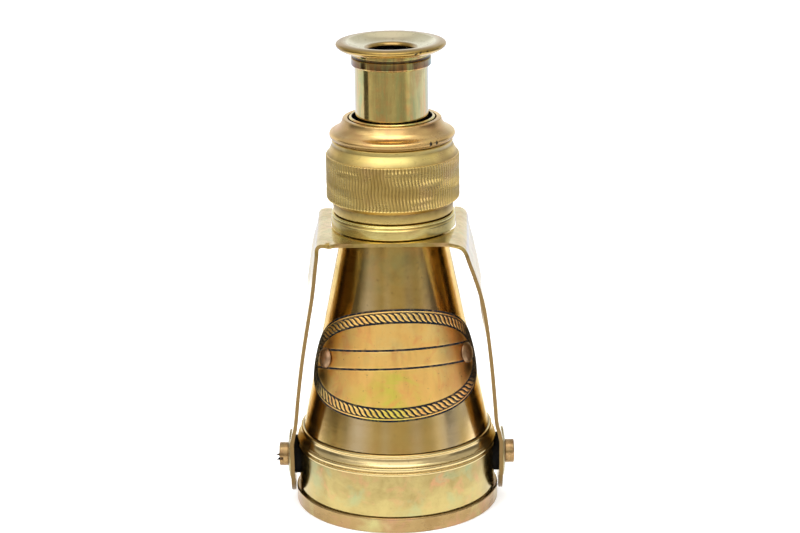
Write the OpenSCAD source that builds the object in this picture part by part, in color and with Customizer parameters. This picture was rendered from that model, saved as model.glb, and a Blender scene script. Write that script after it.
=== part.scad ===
// Brass hand telescope with a knurled focusing ring and a swinging sheet bracket.
// It stands on its objective end. The origin is the centre of that end, +Z runs up
// the optical axis to the eyecup, and the bracket swings towards -Y. Millimetres.

/* [Objective end] */
// Radius of the base ring
base_r = 34.2; // [34:0.1:34.6]
// Height of the base ring
base_h = 5.2; // [4.8:0.1:5.6]
// Radius of the plain drum above the base ring
drum_r = 33.1; // [32.9:0.1:33.3]
// Radius of the recess in the base ring that takes a plug-in cap
recess_r = 30; // [29.5:0.1:30.5]
// Depth of that recess
recess_depth = 2.1; // [1.6:0.1:2.1]
// Radius of the objective lens
lens_r = 29.5; // [29.2:0.1:29.5]
// Clear radius of the objective
clear_r = 28.2; // [27:0.1:28.5]

/* [Barrel] */
// Radius of the cone where it meets the drum
cone_foot_r = 31.2; // [31:0.1:31.4]
// Height of the cone's foot
cone_foot_z = 26.75; // [26.5:0.05:27]
// Radius of the cone where it enters the neck collar
cone_top_r = 16.9; // [16.6:0.1:17]
// Height of the cone's top
cone_top_z = 96.2; // [96:0.1:96.4]
// Thickness of the barrel's sheet
skin = 1.2; // [0.8:0.1:1.4]

/* [Focusing ring] */
// Radius over the knurl
knurl_r = 21.95; // [21.8:0.05:22.2]
// Depth of the knurl's grooves
knurl_depth = 0.4; // [0.2:0.05:0.5]
// Number of ribs round the knurl
knurl_ribs = 120; // [60:1:130]
// Height of the knurl's lower edge
knurl_z = 106.2; // [106:0.1:106.6]
// Height of the knurled band
knurl_h = 14.7; // [14:0.1:15]
// Radius of the plain band under the knurl
register_r = 19.8; // [19.5:0.1:20]
// Radius of the top collar's disc
disc_r = 20.6; // [20.2:0.1:20.8]
// Radius of the neck collar
collar_r = 20.5; // [20:0.1:20.5]

/* [Draw tube] */
// Outer radius of the draw tube
tube_r = 12; // [11.8:0.1:12]
// Wall of the draw tube
tube_wall = 0.9; // [0.7:0.1:1]
// Outer radius of the guide sleeve that the tube slides in
guide_r = 14.1; // [13.8:0.1:14.1]
// Radius of the eyecup's rim
cup_r = 18; // [17:0.1:19]
// Radius of the eye hole
eye_hole_r = 7.15; // [6:0.05:8]
// Overall height, to the top of the eyecup
total_h = 158; // [157.8:0.1:158.4]

/* [Plaque] */
// Half length of the oval plaque, along the cone
plaque_a = 38; // [30:0.5:38]
// Half height of the oval plaque
plaque_b = 18.6; // [14:0.2:18.6]
// Height of the plaque's centre
plaque_z = 55.5; // [54:0.5:58]
// Thickness of the plaque
plaque_t = 0.8; // [0.5:0.1:1]
// Tilt of the plaque on the cone, in degrees
plaque_tilt = 1.9; // [0:0.1:3]
// Radius of a rivet's dome
rivet_r = 3.5; // [2.5:0.1:3.6]

/* [Bracket] */
// Thickness of the bracket's sheet
sheet = 1.1; // [0.9:0.1:1.1]
// Height of the pivot screws
pivot_z = 15.3; // [15:0.1:15.6]
// Distance from the axis to the middle of an arm's sheet at the pivot
arm_x = 35.05; // [35:0.05:35.3]
// Radius of the rounded end of an arm
arm_tip_r = 12.3; // [10:0.1:12.3]
// Half of the bracket's depth at its plate
plate_depth = 21.6; // [20.5:0.1:22]
// Distance from the axis to the middle of an arm's sheet at the plate
plate_x = 24.9; // [24.5:0.1:25.2]
// Height of the top of the plate
plate_top = 95.9; // [95.8:0.05:95.9]
// Half width of the slot that the neck passes through
slot_r = 20.8; // [20.8:0.05:21]
// Depth of the slot's closed end, in front of the axis
slot_front = 17.6; // [17.5:0.05:17.8]
// Radius of a pivot screw's shank
screw_r = 2; // [1.5:0.1:2.2]
// Radius of a pivot screw's head
screw_head_r = 4; // [3.5:0.1:4.5]
// Turn of the right screw's slot from level, in degrees
right_slot_turn = 72; // [0:1:90]
// Radius of a washer
washer_r = 8.5; // [7:0.1:9]
// Radius of a friction spacer
spacer_r = 6.5; // [5:0.1:7]

/* [Hidden] */
$fn = 128;

// Gap between pieces that are screwed or pressed together
seat = 0.05;
// Gap between pieces that move against each other
play = 0.3;
// Running clearance of a shaft in its bore, on the radius
run = 0.05;

// Objective: the lip that the crown lens rests on, and the lenses' curves
lip_z = 4.2;
crown_front_radius = 200;
cement_radius = 150;
crown_t = 6.2;
flint_t = 1.5;
lens_front_z = lip_z - sag(crown_front_radius, clear_r);
cement_z = lens_front_z + crown_t;
flint_back_z = cement_z + flint_t;
cell_spigot_r = drum_r - 1.7;
cell_top = flint_back_z + 1.3;
retainer_h = 1.15;

// Drum and cone
drum_bore_r = cone_foot_r - 0.45;
skirt_r = drum_bore_r - seat;
skirt_z = 21;
cone_slope = (cone_foot_r - cone_top_r) / (cone_top_z - cone_foot_z);
cone_angle = atan(cone_slope);
apex_z = cone_top_z + cone_top_r / cone_slope;
spigot_z = 100.5;
baffle_z = 58;
drum_top = 19.4;
lower_bead_z = 20.1;
upper_bead_z = 21.8;
cove_z = 25.6;
top_bead_z = 26.1;

// Neck and focusing mechanism
collar_top = 101.35;
collar_bead_z = 99.1;
collar_groove_z = 100.15;
collar_rim_z = 100.75;
flange_r = 17.3;
flange_z = spigot_z + 0.1;
flange_h = 2.6;
neck_spigot_r = 18.3;
neck_spigot_top = 105.4;
guide_top = 133.3;
guide_mouth_r = 13.2;
guide_mouth_depth = 3.5;
ring_z = collar_top + play;
ring_top = 125.7;
shoulder_low = 123.1;
shoulder_high = 124.2;
lip_h = 1.1;
relief_r = 16.9;
collar_bottom = ring_top + play;
collar_face = 132.9;
disc_z = 127.45;
flare_r = 5.1;
mouth_r = 15.7;
mouth_step = 1.7;
pin_r = 1.2;
pin_z = 120.7;
pin_reach = 16.4;
pin_slot_low = 104.5;
pin_slot_high = 122.95;

// Draw tube and eye end
tube_z = 103;
tube_top = 153;
tube_bore_r = tube_r - tube_wall;
ledge_z = 148;
ledge_r = 9.8;
eye_lens_z = ledge_z + 1;
eye_lens_h = 3;
eye_lens_radius = 26;
eye_ring_r = 13.1;
eye_ring_z = 150.2;
eye_ring_top = 155.2;
bead_top = 152.5;
groove_z = 152.75;
groove_top = 153.1;
cup_spigot_r = 11.55;
cup_z = eye_ring_top + seat;
rim_r = 1.3;

// Bracket hardware, along X from the drum outwards
arm_in = arm_x - sheet / 2;
arm_out = arm_x + sheet / 2;
face_gap = 0.1;
washer_t = 1.3;
washer_x = arm_out + face_gap;
head_x = washer_x + washer_t;
head_t = 2.9;
nut_x = 28.4;
nut_t = 2;
nut_across = 7;
slot_centre_y = slot_r - slot_front;

// Height of a spherical surface above its vertex, at a distance from the axis
function sag(radius, r) = radius - sqrt(radius * radius - r * r);

// Points of an arc about [x, y], from angle a to angle b
function arc(x, y, r, a, b, n = 8) = [for (i = [0:n]) let (t = a + (b - a) * i / n)
    [x + r * cos(t), y + r * sin(t)]];

// Points of a lens surface, from the axis to its edge or back
function lens_curve(radius, r, z, sign, n = 12) = [for (i = [0:n]) let (d = r * i / n)
    [d, z + sign * sag(radius, d)]];
function reversed(list) = [for (i = [len(list) - 1:-1:0]) list[i]];

// Outer radius of the barrel's cone at a height
function cone_r(z) = cone_top_r + (cone_top_z - z) * cone_slope;

// A point of the plaque's flat pattern, s across and t up, as [angle, height] on the cone
plaque_slant = (apex_z - plaque_z) / cos(cone_angle);
function on_cone(s, t) = let (rho = sqrt(s * s + pow(plaque_slant - t, 2)))
    [atan2(s, plaque_slant - t) / sin(cone_angle), apex_z - rho * cos(cone_angle)];
function tilted(s, t) = [s * cos(plaque_tilt) - t * sin(plaque_tilt),
    s * sin(plaque_tilt) + t * cos(plaque_tilt)];
function plaque_point(s, t) = let (p = tilted(s, t)) on_cone(p[0], p[1]);

// Rivets: their places on the pattern, the left one and the right one, and their shanks
rivet_places = [[-26.6, 2.3], [27.8, 1.5]];
rivet_shank_r = 1.2;
rivet_hole_r = rivet_shank_r + seat;

// Outline of the plaque
plaque_sides = 96;
plaque_edge = [for (i = [0:plaque_sides - 1]) let (a = 360 * i / plaque_sides)
    plaque_point(plaque_a * cos(a), plaque_b * sin(a))];

// Middle line of the bracket's sheet on the right side, from the arm's end to its shoulder
arm_path = [[arm_x, pivot_z - arm_tip_r - 2], [arm_x, 23.8], [34.35, 27.2], [33.65, 31.5],
    [32.75, 42], [31.6, 54], [29.9, 67.5], [27.7, 79], [26.1, 86], [25.15, 91]];
left_bend = 1.6;
right_bend = 3.4;
plate_mid = plate_top - sheet / 2;

// The whole middle line, left arm up, over the plate and down the right arm
function mirrored(path) = [for (p = path) [-p[0], p[1]]];
strip_path = concat(
    mirrored(arm_path),
    arc(-plate_x + left_bend, plate_mid - left_bend, left_bend, 180, 90, 5),
    arc(plate_x - right_bend, plate_mid - right_bend, right_bend, 90, 0, 6),
    reversed(arm_path));

// Unit normal of a path at a point
function along(path, i) = path[min(i + 1, len(path) - 1)] - path[max(i - 1, 0)];
function normal(path, i) = let (d = along(path, i)) [-d[1], d[0]] / norm(d);
function offset_path(path, d) = [for (i = [0:len(path) - 1]) path[i] + d * normal(path, i)];

// A body turned from a profile of [radius, height] points
module turned(points) {
    rotate_extrude() polygon(points);
}

// A cylinder along X, from x1 to x2
module rod_x(r, x1, x2) {
    translate([x1, 0, pivot_z]) rotate([0, 90, 0]) cylinder(r = r, h = x2 - x1);
}

// Puts children on the right side, or on the left with side = -1
module on_side(side) {
    mirror([side < 0 ? 1 : 0, 0, 0]) children();
}

// Puts children on the cone's surface at a point of the plaque's pattern, +Z outwards
module at_plaque(s, t) {
    p = plaque_point(s, t);
    rotate([0, 0, p[0]]) translate([0, -cone_r(p[1]), p[1]]) rotate([90 - cone_angle, 0, 0])
        children();
}

module objective_cell() {
    color([0.78, 0.68, 0.43]) turned([
        [recess_r, 0], [base_r - 0.3, 0], [base_r, 0.4], [base_r, base_h - 0.3],
        [base_r - 0.2, base_h], [cell_spigot_r, base_h], [cell_spigot_r, cell_top],
        [lens_r + seat, cell_top], [lens_r + seat, lip_z], [clear_r, lip_z],
        [clear_r, recess_depth], [recess_r, recess_depth]]);
}

module crown_lens() {
    color([0.7, 0.82, 0.8, 0.5]) turned(concat(
        lens_curve(crown_front_radius, lens_r, lens_front_z, 1),
        reversed(lens_curve(cement_radius, lens_r, cement_z, -1))));
}

module flint_lens() {
    color([0.75, 0.8, 0.85, 0.5]) turned(concat(
        lens_curve(cement_radius, lens_r, cement_z + seat, -1),
        [[lens_r, flint_back_z], [0, flint_back_z]]));
}

// Ring that holds the objective in its cell, with two slots for a pin spanner
module objective_retainer() {
    slot_w = 1.6;
    slot_d = 0.6;
    z = flint_back_z + seat;
    color([0.16, 0.14, 0.12]) difference() {
        turned([[clear_r - 0.4, z], [lens_r, z], [lens_r, z + retainer_h],
            [clear_r - 0.4, z + retainer_h]]);
        translate([-lens_r - 1, -slot_w / 2, z + retainer_h - slot_d])
            cube([2 * lens_r + 2, slot_w, 1]);
    }
}

// Plain drum with a double bead, a cove and a fine top bead under the cone
module objective_housing() {
    foot = base_h + 0.15;
    color([0.76, 0.68, 0.42]) difference() {
        turned(concat(
            [[drum_bore_r, cell_top + 0.2], [cell_spigot_r + seat, cell_top + 0.2],
                [cell_spigot_r + seat, foot], [drum_r - 0.2, foot], [drum_r, foot + 0.2],
                [drum_r, drum_top]],
            arc(drum_r - 0.1, lower_bead_z, 0.55, -80, 80),
            [[drum_r - 0.2, lower_bead_z + 0.75]],
            arc(drum_r - 0.2, upper_bead_z, 0.75, -75, 80),
            arc(cone_foot_r + 3.7, cove_z, 3, 240, 182),
            arc(cone_foot_r + 0.6, top_bead_z, 0.5, -70, 90),
            [[drum_bore_r, top_bead_z + 0.5]]));
        for (side = [-1, 1]) on_side(side) rod_x(screw_r + seat, drum_bore_r - 3, drum_r + 1);
    }
}

module barrel_cone() {
    color([0.6, 0.48, 0.26]) difference() {
        turned([
            [skirt_r, skirt_z], [skirt_r, cone_foot_z], [cone_foot_r, cone_foot_z],
            [cone_top_r, cone_top_z], [cone_top_r, spigot_z], [cone_top_r - skin, spigot_z],
            [cone_top_r - skin, cone_top_z], [cone_foot_r - skin, cone_foot_z],
            [skirt_r - skin, cone_foot_z - 0.5], [skirt_r - skin, skirt_z]]);
        rivet_holes();
    }
}

// Blackened stop inside the cone
module baffle() {
    outer_r = cone_r(baffle_z) - skin - 0.15;
    h = 4;
    color([0.1, 0.1, 0.1]) turned([
        [outer_r, baffle_z], [outer_r - h * cone_slope, baffle_z + h],
        [outer_r - h * cone_slope - 0.6, baffle_z + h], [outer_r - 1, baffle_z + 0.6],
        [outer_r - 4, baffle_z + 0.6], [outer_r - 4, baffle_z]]);
}

// Holes for the shanks of the plaque's rivets
module rivet_holes() {
    depth = 3;
    for (p = rivet_places) at_plaque(p[0], p[1])
        translate([0, 0, -depth]) cylinder(r = rivet_hole_r, h = 2 * depth);
}

// Oval plate wrapped on the cone. The shell is trimmed in three sectors, each along its own
// direction, so the edge stays nearly square to the plate all the way round.
module plaque() {
    sector = 62;
    reach = 60;
    color([0.85, 0.65, 0.3]) difference() {
        plaque_shell();
        for (k = [-1:1]) rotate([0, 0, sector * k]) difference() {
            plaque_wedge(sector / 2 + 0.5, reach);
            plaque_prism(sector * k, reach);
        }
        translate([-reach, 0, 0]) cube([2 * reach, reach, total_h]);
        rivet_holes();
    }
}

// The shell that the plaque is cut from
module plaque_shell() {
    low = plaque_z - 24;
    high = plaque_z + 22;
    turned([
        [cone_r(low) + seat, low], [cone_r(low) + seat + plaque_t, low],
        [cone_r(high) + seat + plaque_t, high], [cone_r(high) + seat, high]]);
}

// A wedge of space in front of the axis, of a half angle on each side of -Y
module plaque_wedge(half, reach) {
    limit = reach * tan(half);
    linear_extrude(total_h) polygon([[0, 0], [-limit, -reach], [limit, -reach]]);
}

// A prism along -Y with the plaque's outline, as it is seen from one side
module plaque_prism(direction, reach) {
    view = 80;
    outline = [for (p = plaque_edge) if (abs(p[0] - direction) < view)
        [cone_r(p[1]) * sin(p[0] - direction), p[1]]];
    rotate([90, 0, 0]) linear_extrude(reach) polygon(outline);
}

// Two domed rivets with shanks through the plaque and the barrel, turned over inside
module plaque_rivets() {
    dome_h = 2;
    radius = (rivet_r * rivet_r + dome_h * dome_h) / (2 * dome_h);
    lift = plaque_t + seat + 0.3;
    tail_r = 1.9;
    tail_h = 0.55;
    tail_top = -skin - 0.3;
    color([0.62, 0.4, 0.25]) for (p = rivet_places) at_plaque(p[0], p[1]) {
        translate([0, 0, tail_top - seat])
            cylinder(r = rivet_shank_r, h = lift + 0.2 - tail_top);
        translate([0, 0, tail_top - tail_h]) cylinder(r = tail_r, h = tail_h);
        translate([0, 0, lift]) rotate_extrude() polygon(concat([[0, 0]],
            arc(0, dome_h - radius, radius, acos(rivet_r / radius), 90, 8)));
    }
}

// Lower collar, screwed on the cone's spigot, with the spigot that the ring turns on
module neck_collar() {
    color([0.8, 0.66, 0.36]) turned(concat(
        [[cone_top_r + seat, cone_top_z], [collar_r - 0.4, cone_top_z],
            [collar_r, cone_top_z + 0.4]],
        arc(collar_r - 0.9, collar_bead_z, 0.9, 0, 62, 5),
        [[collar_r - 0.6, collar_groove_z]],
        arc(collar_r - 0.6, collar_rim_z, 0.5, -80, 80, 6),
        [[neck_spigot_r, collar_top], [neck_spigot_r, neck_spigot_top],
            [flange_r + seat, neck_spigot_top], [flange_r + seat, spigot_z],
            [cone_top_r + seat, spigot_z]]));
}

// Sleeve that the draw tube slides in, with a straight slot for the focus pin and a wider mouth
module guide_sleeve() {
    mouth_z = guide_top - guide_mouth_depth;
    color([0.55, 0.45, 0.26]) difference() {
        turned([
            [tube_r + run, flange_z], [flange_r, flange_z], [flange_r, flange_z + flange_h],
            [guide_r, flange_z + flange_h], [guide_r, guide_top - 0.3],
            [guide_r - 0.3, guide_top], [guide_mouth_r, guide_top], [guide_mouth_r, mouth_z],
            [tube_r + run, mouth_z]]);
        for (z = [pin_slot_low, pin_slot_high]) translate([0, 0, z]) rotate([-90, 0, 0])
            cylinder(r = pin_r + run, h = guide_r + 2);
        translate([-pin_r - run, 0, pin_slot_low])
            cube([2 * (pin_r + run), guide_r + 2, pin_slot_high - pin_slot_low]);
    }
}

// Top collar with a concave flare and a rounded disc
module top_collar() {
    color([0.93, 0.76, 0.46]) turned(concat(
        [[guide_r + seat, collar_bottom], [disc_r - 0.8, collar_bottom],
            [disc_r - 0.55, collar_bottom + 0.25]],
        arc(disc_r - 1.1, disc_z, 1.15, -60, 62, 8),
        arc(disc_r + 0.6, collar_face + 0.7, flare_r, 250, 190, 8),
        arc(mouth_r, collar_face - 0.4, 0.4, 0, 90, 4),
        [[guide_r + 0.5, collar_face], [guide_r + 0.5, collar_face - mouth_step],
            [guide_r + seat, collar_face - mouth_step]]));
}

// Outline of the knurled band: one V-groove and one flat crest for each rib
knurl_step = 360 / knurl_ribs;
knurl_outline = [for (i = [0:knurl_ribs - 1]) for (k = [0, 1, 2]) let (
    r = k == 0 ? knurl_r - knurl_depth : knurl_r,
    a = knurl_step * (i + [0, 0.34, 0.66][k]))
    [r * cos(a), r * sin(a)]];

module focus_ring() {
    valley = knurl_r - knurl_depth;
    color([0.65, 0.53, 0.3]) {
        difference() {
            union() {
                turned([
                    [10, ring_z], [register_r - 0.2, ring_z], [register_r, ring_z + 0.2],
                    [register_r, knurl_z - 1.5], [register_r + 0.25, knurl_z - 1.25],
                    [valley - 0.1, knurl_z], [valley - 0.1, knurl_z + knurl_h],
                    [register_r + 0.5, shoulder_low], [register_r, shoulder_high],
                    [register_r, ring_top - 0.3],
                    [register_r - 0.3, ring_top], [10, ring_top]]);
                translate([0, 0, knurl_z]) linear_extrude(knurl_h) polygon(knurl_outline);
            }
            translate([0, 0, ring_z - 1]) cylinder(r = guide_r + run, h = 40);
            translate([0, 0, ring_z - 1]) cylinder(r = relief_r, h = ring_top - lip_h - ring_z + 1);
            translate([0, 0, ring_z - 1])
                cylinder(r = neck_spigot_r + run, h = neck_spigot_top + play - ring_z + 1);
        }
    }
}

module draw_tube() {
    color([0.6, 0.5, 0.28]) difference() {
        turned([
            [tube_bore_r, tube_z], [tube_r - 0.2, tube_z], [tube_r, tube_z + 0.2],
            [tube_r, tube_top], [tube_bore_r, tube_top], [tube_bore_r, ledge_z + 1],
            [ledge_r, ledge_z + 1], [ledge_r, ledge_z + 0.2], [tube_bore_r, ledge_z - 0.8]]);
        translate([0, 0, pin_z]) rotate([-90, 0, 0]) cylinder(r = pin_r + 0.02, h = tube_r + 2);
    }
}

// Pin of the draw tube, in the guide's slot, driven by the ring
module focus_pin() {
    color([0.45, 0.45, 0.47]) translate([0, tube_bore_r + seat, pin_z]) rotate([-90, 0, 0])
        cylinder(r = pin_r, h = pin_reach - tube_bore_r - seat);
}

// Negative eye lens: flat towards the eye, hollow towards the objective
module eye_lens() {
    low = eye_lens_z + seat;
    top = low + eye_lens_h;
    hollow_r = ledge_r - 0.1;
    color([0.75, 0.85, 0.85, 0.5]) turned(concat(
        [for (i = [0:12]) let (d = hollow_r * i / 12)
            [d, low + sag(eye_lens_radius, hollow_r) - sag(eye_lens_radius, d)]],
        [[tube_bore_r - seat, low], [tube_bore_r - seat, top], [0, top]]));
}

module eye_retainer() {
    low = eye_lens_z + eye_lens_h + 2 * seat;
    color([0.16, 0.14, 0.12])
        turned([[ledge_r + 0.1, low], [tube_bore_r - seat, low], [tube_bore_r - seat, tube_top],
            [ledge_r + 0.1, tube_top]]);
}

// Beaded ring screwed on the end of the draw tube
module eye_ring() {
    lip = tube_top + seat;
    step = eye_ring_top - 0.8;
    color([0.62, 0.5, 0.28]) turned(concat(
        [[tube_r + seat, eye_ring_z]],
        arc(eye_ring_r - 0.6, eye_ring_z + 0.6, 0.6, -90, 0, 5),
        [[eye_ring_r, bead_top], [eye_ring_r - 0.35, groove_z], [eye_ring_r - 0.35, groove_top],
            [eye_ring_r - 0.1, groove_top + 0.25], [eye_ring_r - 0.1, eye_ring_top - 0.2],
            [eye_ring_r - 0.3, eye_ring_top], [cup_spigot_r + seat, eye_ring_top],
            [cup_spigot_r + seat, step], [ledge_r, step], [ledge_r, lip], [tube_r + seat, lip]]));
}

// Flared eyecup: a shallow dish with a rounded rim
module eyecup() {
    rim_x = cup_r - rim_r;
    rim_z = total_h - rim_r;
    dish_r = rim_x - 0.5;
    dish_z = total_h - 0.1;
    dish_depth = 1.95;
    dish_steps = 10;
    edge_r = eye_hole_r + 0.4;
    color([0.82, 0.76, 0.52]) turned(concat(
        [[eye_hole_r, cup_z - 0.75], [cup_spigot_r, cup_z - 0.75], [cup_spigot_r, cup_z],
            [eye_ring_r - 0.5, cup_z]],
        arc(eye_ring_r - 0.2, cup_z + 0.9, 0.7, 250, 280, 3),
        arc(rim_x, rim_z, rim_r, -95, 90, 12),
        [for (i = [0:dish_steps]) let (r = dish_r + (edge_r - dish_r) * i / dish_steps)
            [r, dish_z - dish_depth * (1 - pow((r - edge_r) / (dish_r - edge_r), 2))]],
        [[eye_hole_r, dish_z - dish_depth - 0.4]]));
}

// U-shaped bent strip: two tapering arms and a plate with a slot open at the back
module bracket() {
    far = 60;
    top_z = 91.5;
    tip_angle = 7;
    tip = arc(0, pivot_z, arm_tip_r, 180 + tip_angle, 360 - tip_angle, 24);
    outline = concat(tip, [[plate_depth, top_z], [plate_depth, far + top_z],
        [-plate_depth, far + top_z], [-plate_depth, top_z]]);
    color([0.72, 0.6, 0.36]) difference() {
        intersection() {
            translate([0, far / 2, 0]) rotate([90, 0, 0]) linear_extrude(far)
                polygon(concat(offset_path(strip_path, sheet / 2),
                    reversed(offset_path(strip_path, -sheet / 2))));
            translate([-far, 0, 0]) rotate([90, 0, 90]) linear_extrude(2 * far) polygon(outline);
        }
        translate([0, slot_centre_y, top_z]) cylinder(r = slot_r, h = 10);
        translate([-slot_r, slot_centre_y, top_z]) cube([2 * slot_r, far, 10]);
        rod_x(screw_r + run, -far, far);
    }
}

// Friction spacer, hollowed to the drum and clear of its beads
module spacer(side) {
    bead_r = drum_r + 0.65;
    color([0.05, 0.05, 0.05]) on_side(side) difference() {
        rod_x(spacer_r, drum_r - 2, arm_in - face_gap);
        cylinder(r = drum_r + seat, h = 40);
        translate([0, 0, drum_top - 0.1]) cylinder(r = bead_r, h = 10);
        rod_x(screw_r + seat, 0, 50);
    }
}

module washer(side) {
    edge = 0.25;
    color([0.7, 0.58, 0.34]) on_side(side) translate([washer_x, 0, pivot_z]) rotate([0, 90, 0])
        turned([
            [screw_r + seat, 0], [washer_r - edge, 0], [washer_r, edge],
            [washer_r, washer_t - edge - seat], [washer_r - edge, washer_t - seat],
            [screw_r + seat, washer_t - seat]]);
}

// Two slotted cheese-head screws
module pivot_screws() {
    edge = 0.4;
    slot_w = 1;
    slot_d = 1.3;
    color([0.6, 0.48, 0.25]) for (side = [-1, 1]) on_side(side) difference() {
        union() {
            rod_x(screw_r, nut_x, head_x + 1);
            translate([head_x, 0, pivot_z]) rotate([0, 90, 0]) turned([
                [0, 0], [screw_head_r, 0], [screw_head_r, head_t - edge],
                [screw_head_r - edge, head_t], [0, head_t]]);
        }
        translate([head_x + head_t - slot_d, 0, pivot_z])
            rotate([side > 0 ? right_slot_turn : 0, 0, 0])
            translate([0, -screw_head_r - 1, -slot_w / 2])
            cube([5, 2 * screw_head_r + 2, slot_w]);
    }
}

// Two hexagonal nuts inside the drum
module pivot_nuts() {
    color([0.5, 0.42, 0.26]) for (side = [-1, 1]) on_side(side) difference() {
        translate([nut_x, 0, pivot_z]) rotate([0, 90, 0])
            cylinder(r = nut_across / 2 / cos(30), h = nut_t, $fn = 6);
        rod_x(screw_r + seat, 0, 50);
    }
}

objective_cell();
crown_lens();
flint_lens();
objective_retainer();
objective_housing();
barrel_cone();
baffle();
plaque();
plaque_rivets();
neck_collar();
guide_sleeve();
top_collar();
focus_ring();
draw_tube();
focus_pin();
eye_lens();
eye_retainer();
eye_ring();
eyecup();
bracket();
spacer(-1);  // left_spacer
spacer(1);  // right_spacer
washer(-1);  // left_washer
washer(1);  // right_washer
pivot_screws();
pivot_nuts();
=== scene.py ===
import math

import bpy
import numpy as np
from mathutils import Matrix, Vector


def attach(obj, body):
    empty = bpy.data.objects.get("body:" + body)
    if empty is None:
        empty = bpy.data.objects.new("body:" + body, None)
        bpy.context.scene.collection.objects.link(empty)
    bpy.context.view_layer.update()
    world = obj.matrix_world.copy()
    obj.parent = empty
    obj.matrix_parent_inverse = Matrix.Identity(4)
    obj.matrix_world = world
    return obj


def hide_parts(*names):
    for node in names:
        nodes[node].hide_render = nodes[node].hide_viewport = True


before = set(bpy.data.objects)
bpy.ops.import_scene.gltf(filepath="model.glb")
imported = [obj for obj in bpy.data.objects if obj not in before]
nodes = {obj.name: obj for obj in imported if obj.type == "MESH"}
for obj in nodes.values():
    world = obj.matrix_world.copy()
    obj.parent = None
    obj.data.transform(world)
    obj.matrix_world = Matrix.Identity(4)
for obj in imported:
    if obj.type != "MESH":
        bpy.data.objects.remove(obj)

# A brass hand telescope that stands on its objective end. Lengths are in millimetres, except where a name
# ends in _M. Directions are in degrees from the front (-Y), + to the right (+X).
MM = 0.001
scene = bpy.context.scene
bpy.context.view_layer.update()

# Camera: in front of the object, looking down on it, and rolled a little
CAMERA_M, LOOK_DOWN, ROLL, LENS = (0.00196, -0.7614, 0.3172), 17.2, -0.802, 107.73
cam = bpy.data.objects.new("camera", bpy.data.cameras.new("camera"))
scene.collection.objects.link(cam)
turned_down = Matrix.Rotation(math.radians(90 - LOOK_DOWN), 4, "X")
cam.matrix_world = Matrix.Translation(CAMERA_M) @ turned_down @ Matrix.Rotation(math.radians(ROLL), 4, "Z")
cam.data.sensor_fit = "HORIZONTAL"
cam.data.sensor_width = 36
cam.data.lens = LENS
cam.data.clip_start, cam.data.clip_end = 0.01, 50
scene.camera = cam


# Curves and values
def step(x, low, high):
    """A smooth step from 0 at low to 1 at high."""
    k = np.clip((x - low) / (high - low), 0, 1)
    return k * k * (3 - 2 * k)


def band(x, low, high, soft=0.07):
    """1 from low to high and 0 elsewhere, with soft ends."""
    return step(x, low - soft, low + soft) * (1 - step(x, high - soft, high + soft))


def arc(x, z, r, a, b, n=10):
    """Points of an arc round (x, z), from a to b in degrees."""
    t = np.radians(np.linspace(a, b, n + 1))
    return [(x + r * math.cos(k), z + r * math.sin(k)) for k in t]


def turn_of(a):
    """Direction in degrees of an angle that runs from +X to +Y."""
    return (np.degrees(a) + 90 + 180) % 360 - 180


def off(a, at):
    """How many degrees an angle lies round from the direction at."""
    return (turn_of(a) - at + 180) % 360 - 180


def patches(a, table):
    """The strongest of some soft patches round a piece: direction, half width and strength."""
    return np.max([much * np.exp(-((turn_of(a) - at) / wide) ** 2) for at, wide, much in table], axis=0)


def dents(a, z, radius, table, lean=0.0):
    """How deep in a dent a place is, 0 to 1. Each dent is a direction, height, half width and half height."""
    deep = np.zeros_like(z)
    for at, up, wide, tall in table:
        across = np.radians(off(a, at)) * radius
        deep = np.maximum(deep, np.clip(1 - np.hypot(across / wide, (z - up - lean * across) / tall), 0, 1))
    return deep


# Turned pieces
ROUNDING, ROUNDING_STEPS, NEARLY_STRAIGHT = 0.12, 3, 0.28
CORNER_REACH, FULLY_HOLLOW, FULLY_SHARP = 0.35, 1.2, 1.5


def rounded(points, radius):
    """A closed profile with every corner rounded, by a third value of the point where it has one."""
    out, n = [], len(points)
    for i in range(n):
        p = np.array(points[i][:2], float)
        a = np.array(points[i - 1][:2], float) - p
        b = np.array(points[(i + 1) % n][:2], float) - p
        size = points[i][2] if len(points[i]) > 2 else radius
        la, lb = np.linalg.norm(a), np.linalg.norm(b)
        if la < 1e-6 or lb < 1e-6:
            continue
        a, b = a / la, b / lb
        bend = math.pi - math.acos(max(-1, min(1, float(a @ b))))
        if bend < NEARLY_STRAIGHT or size <= 0:
            out.append(tuple(p))
            continue
        reach = min(size * math.tan(bend / 2), 0.45 * la, 0.45 * lb)
        r = reach / math.tan(bend / 2)
        c = p + (a + b) / np.linalg.norm(a + b) * r / math.cos(bend / 2)
        s, e = p + a * reach - c, p + b * reach - c
        t0, t1 = math.atan2(s[1], s[0]), math.atan2(e[1], e[0])
        d = (t1 - t0 + math.pi) % (2 * math.pi) - math.pi
        turns = [t0 + d * k / ROUNDING_STEPS for k in range(ROUNDING_STEPS + 1)]
        out += [(c[0] + r * math.cos(t), c[1] + r * math.sin(t)) for t in turns]
    return out


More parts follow.
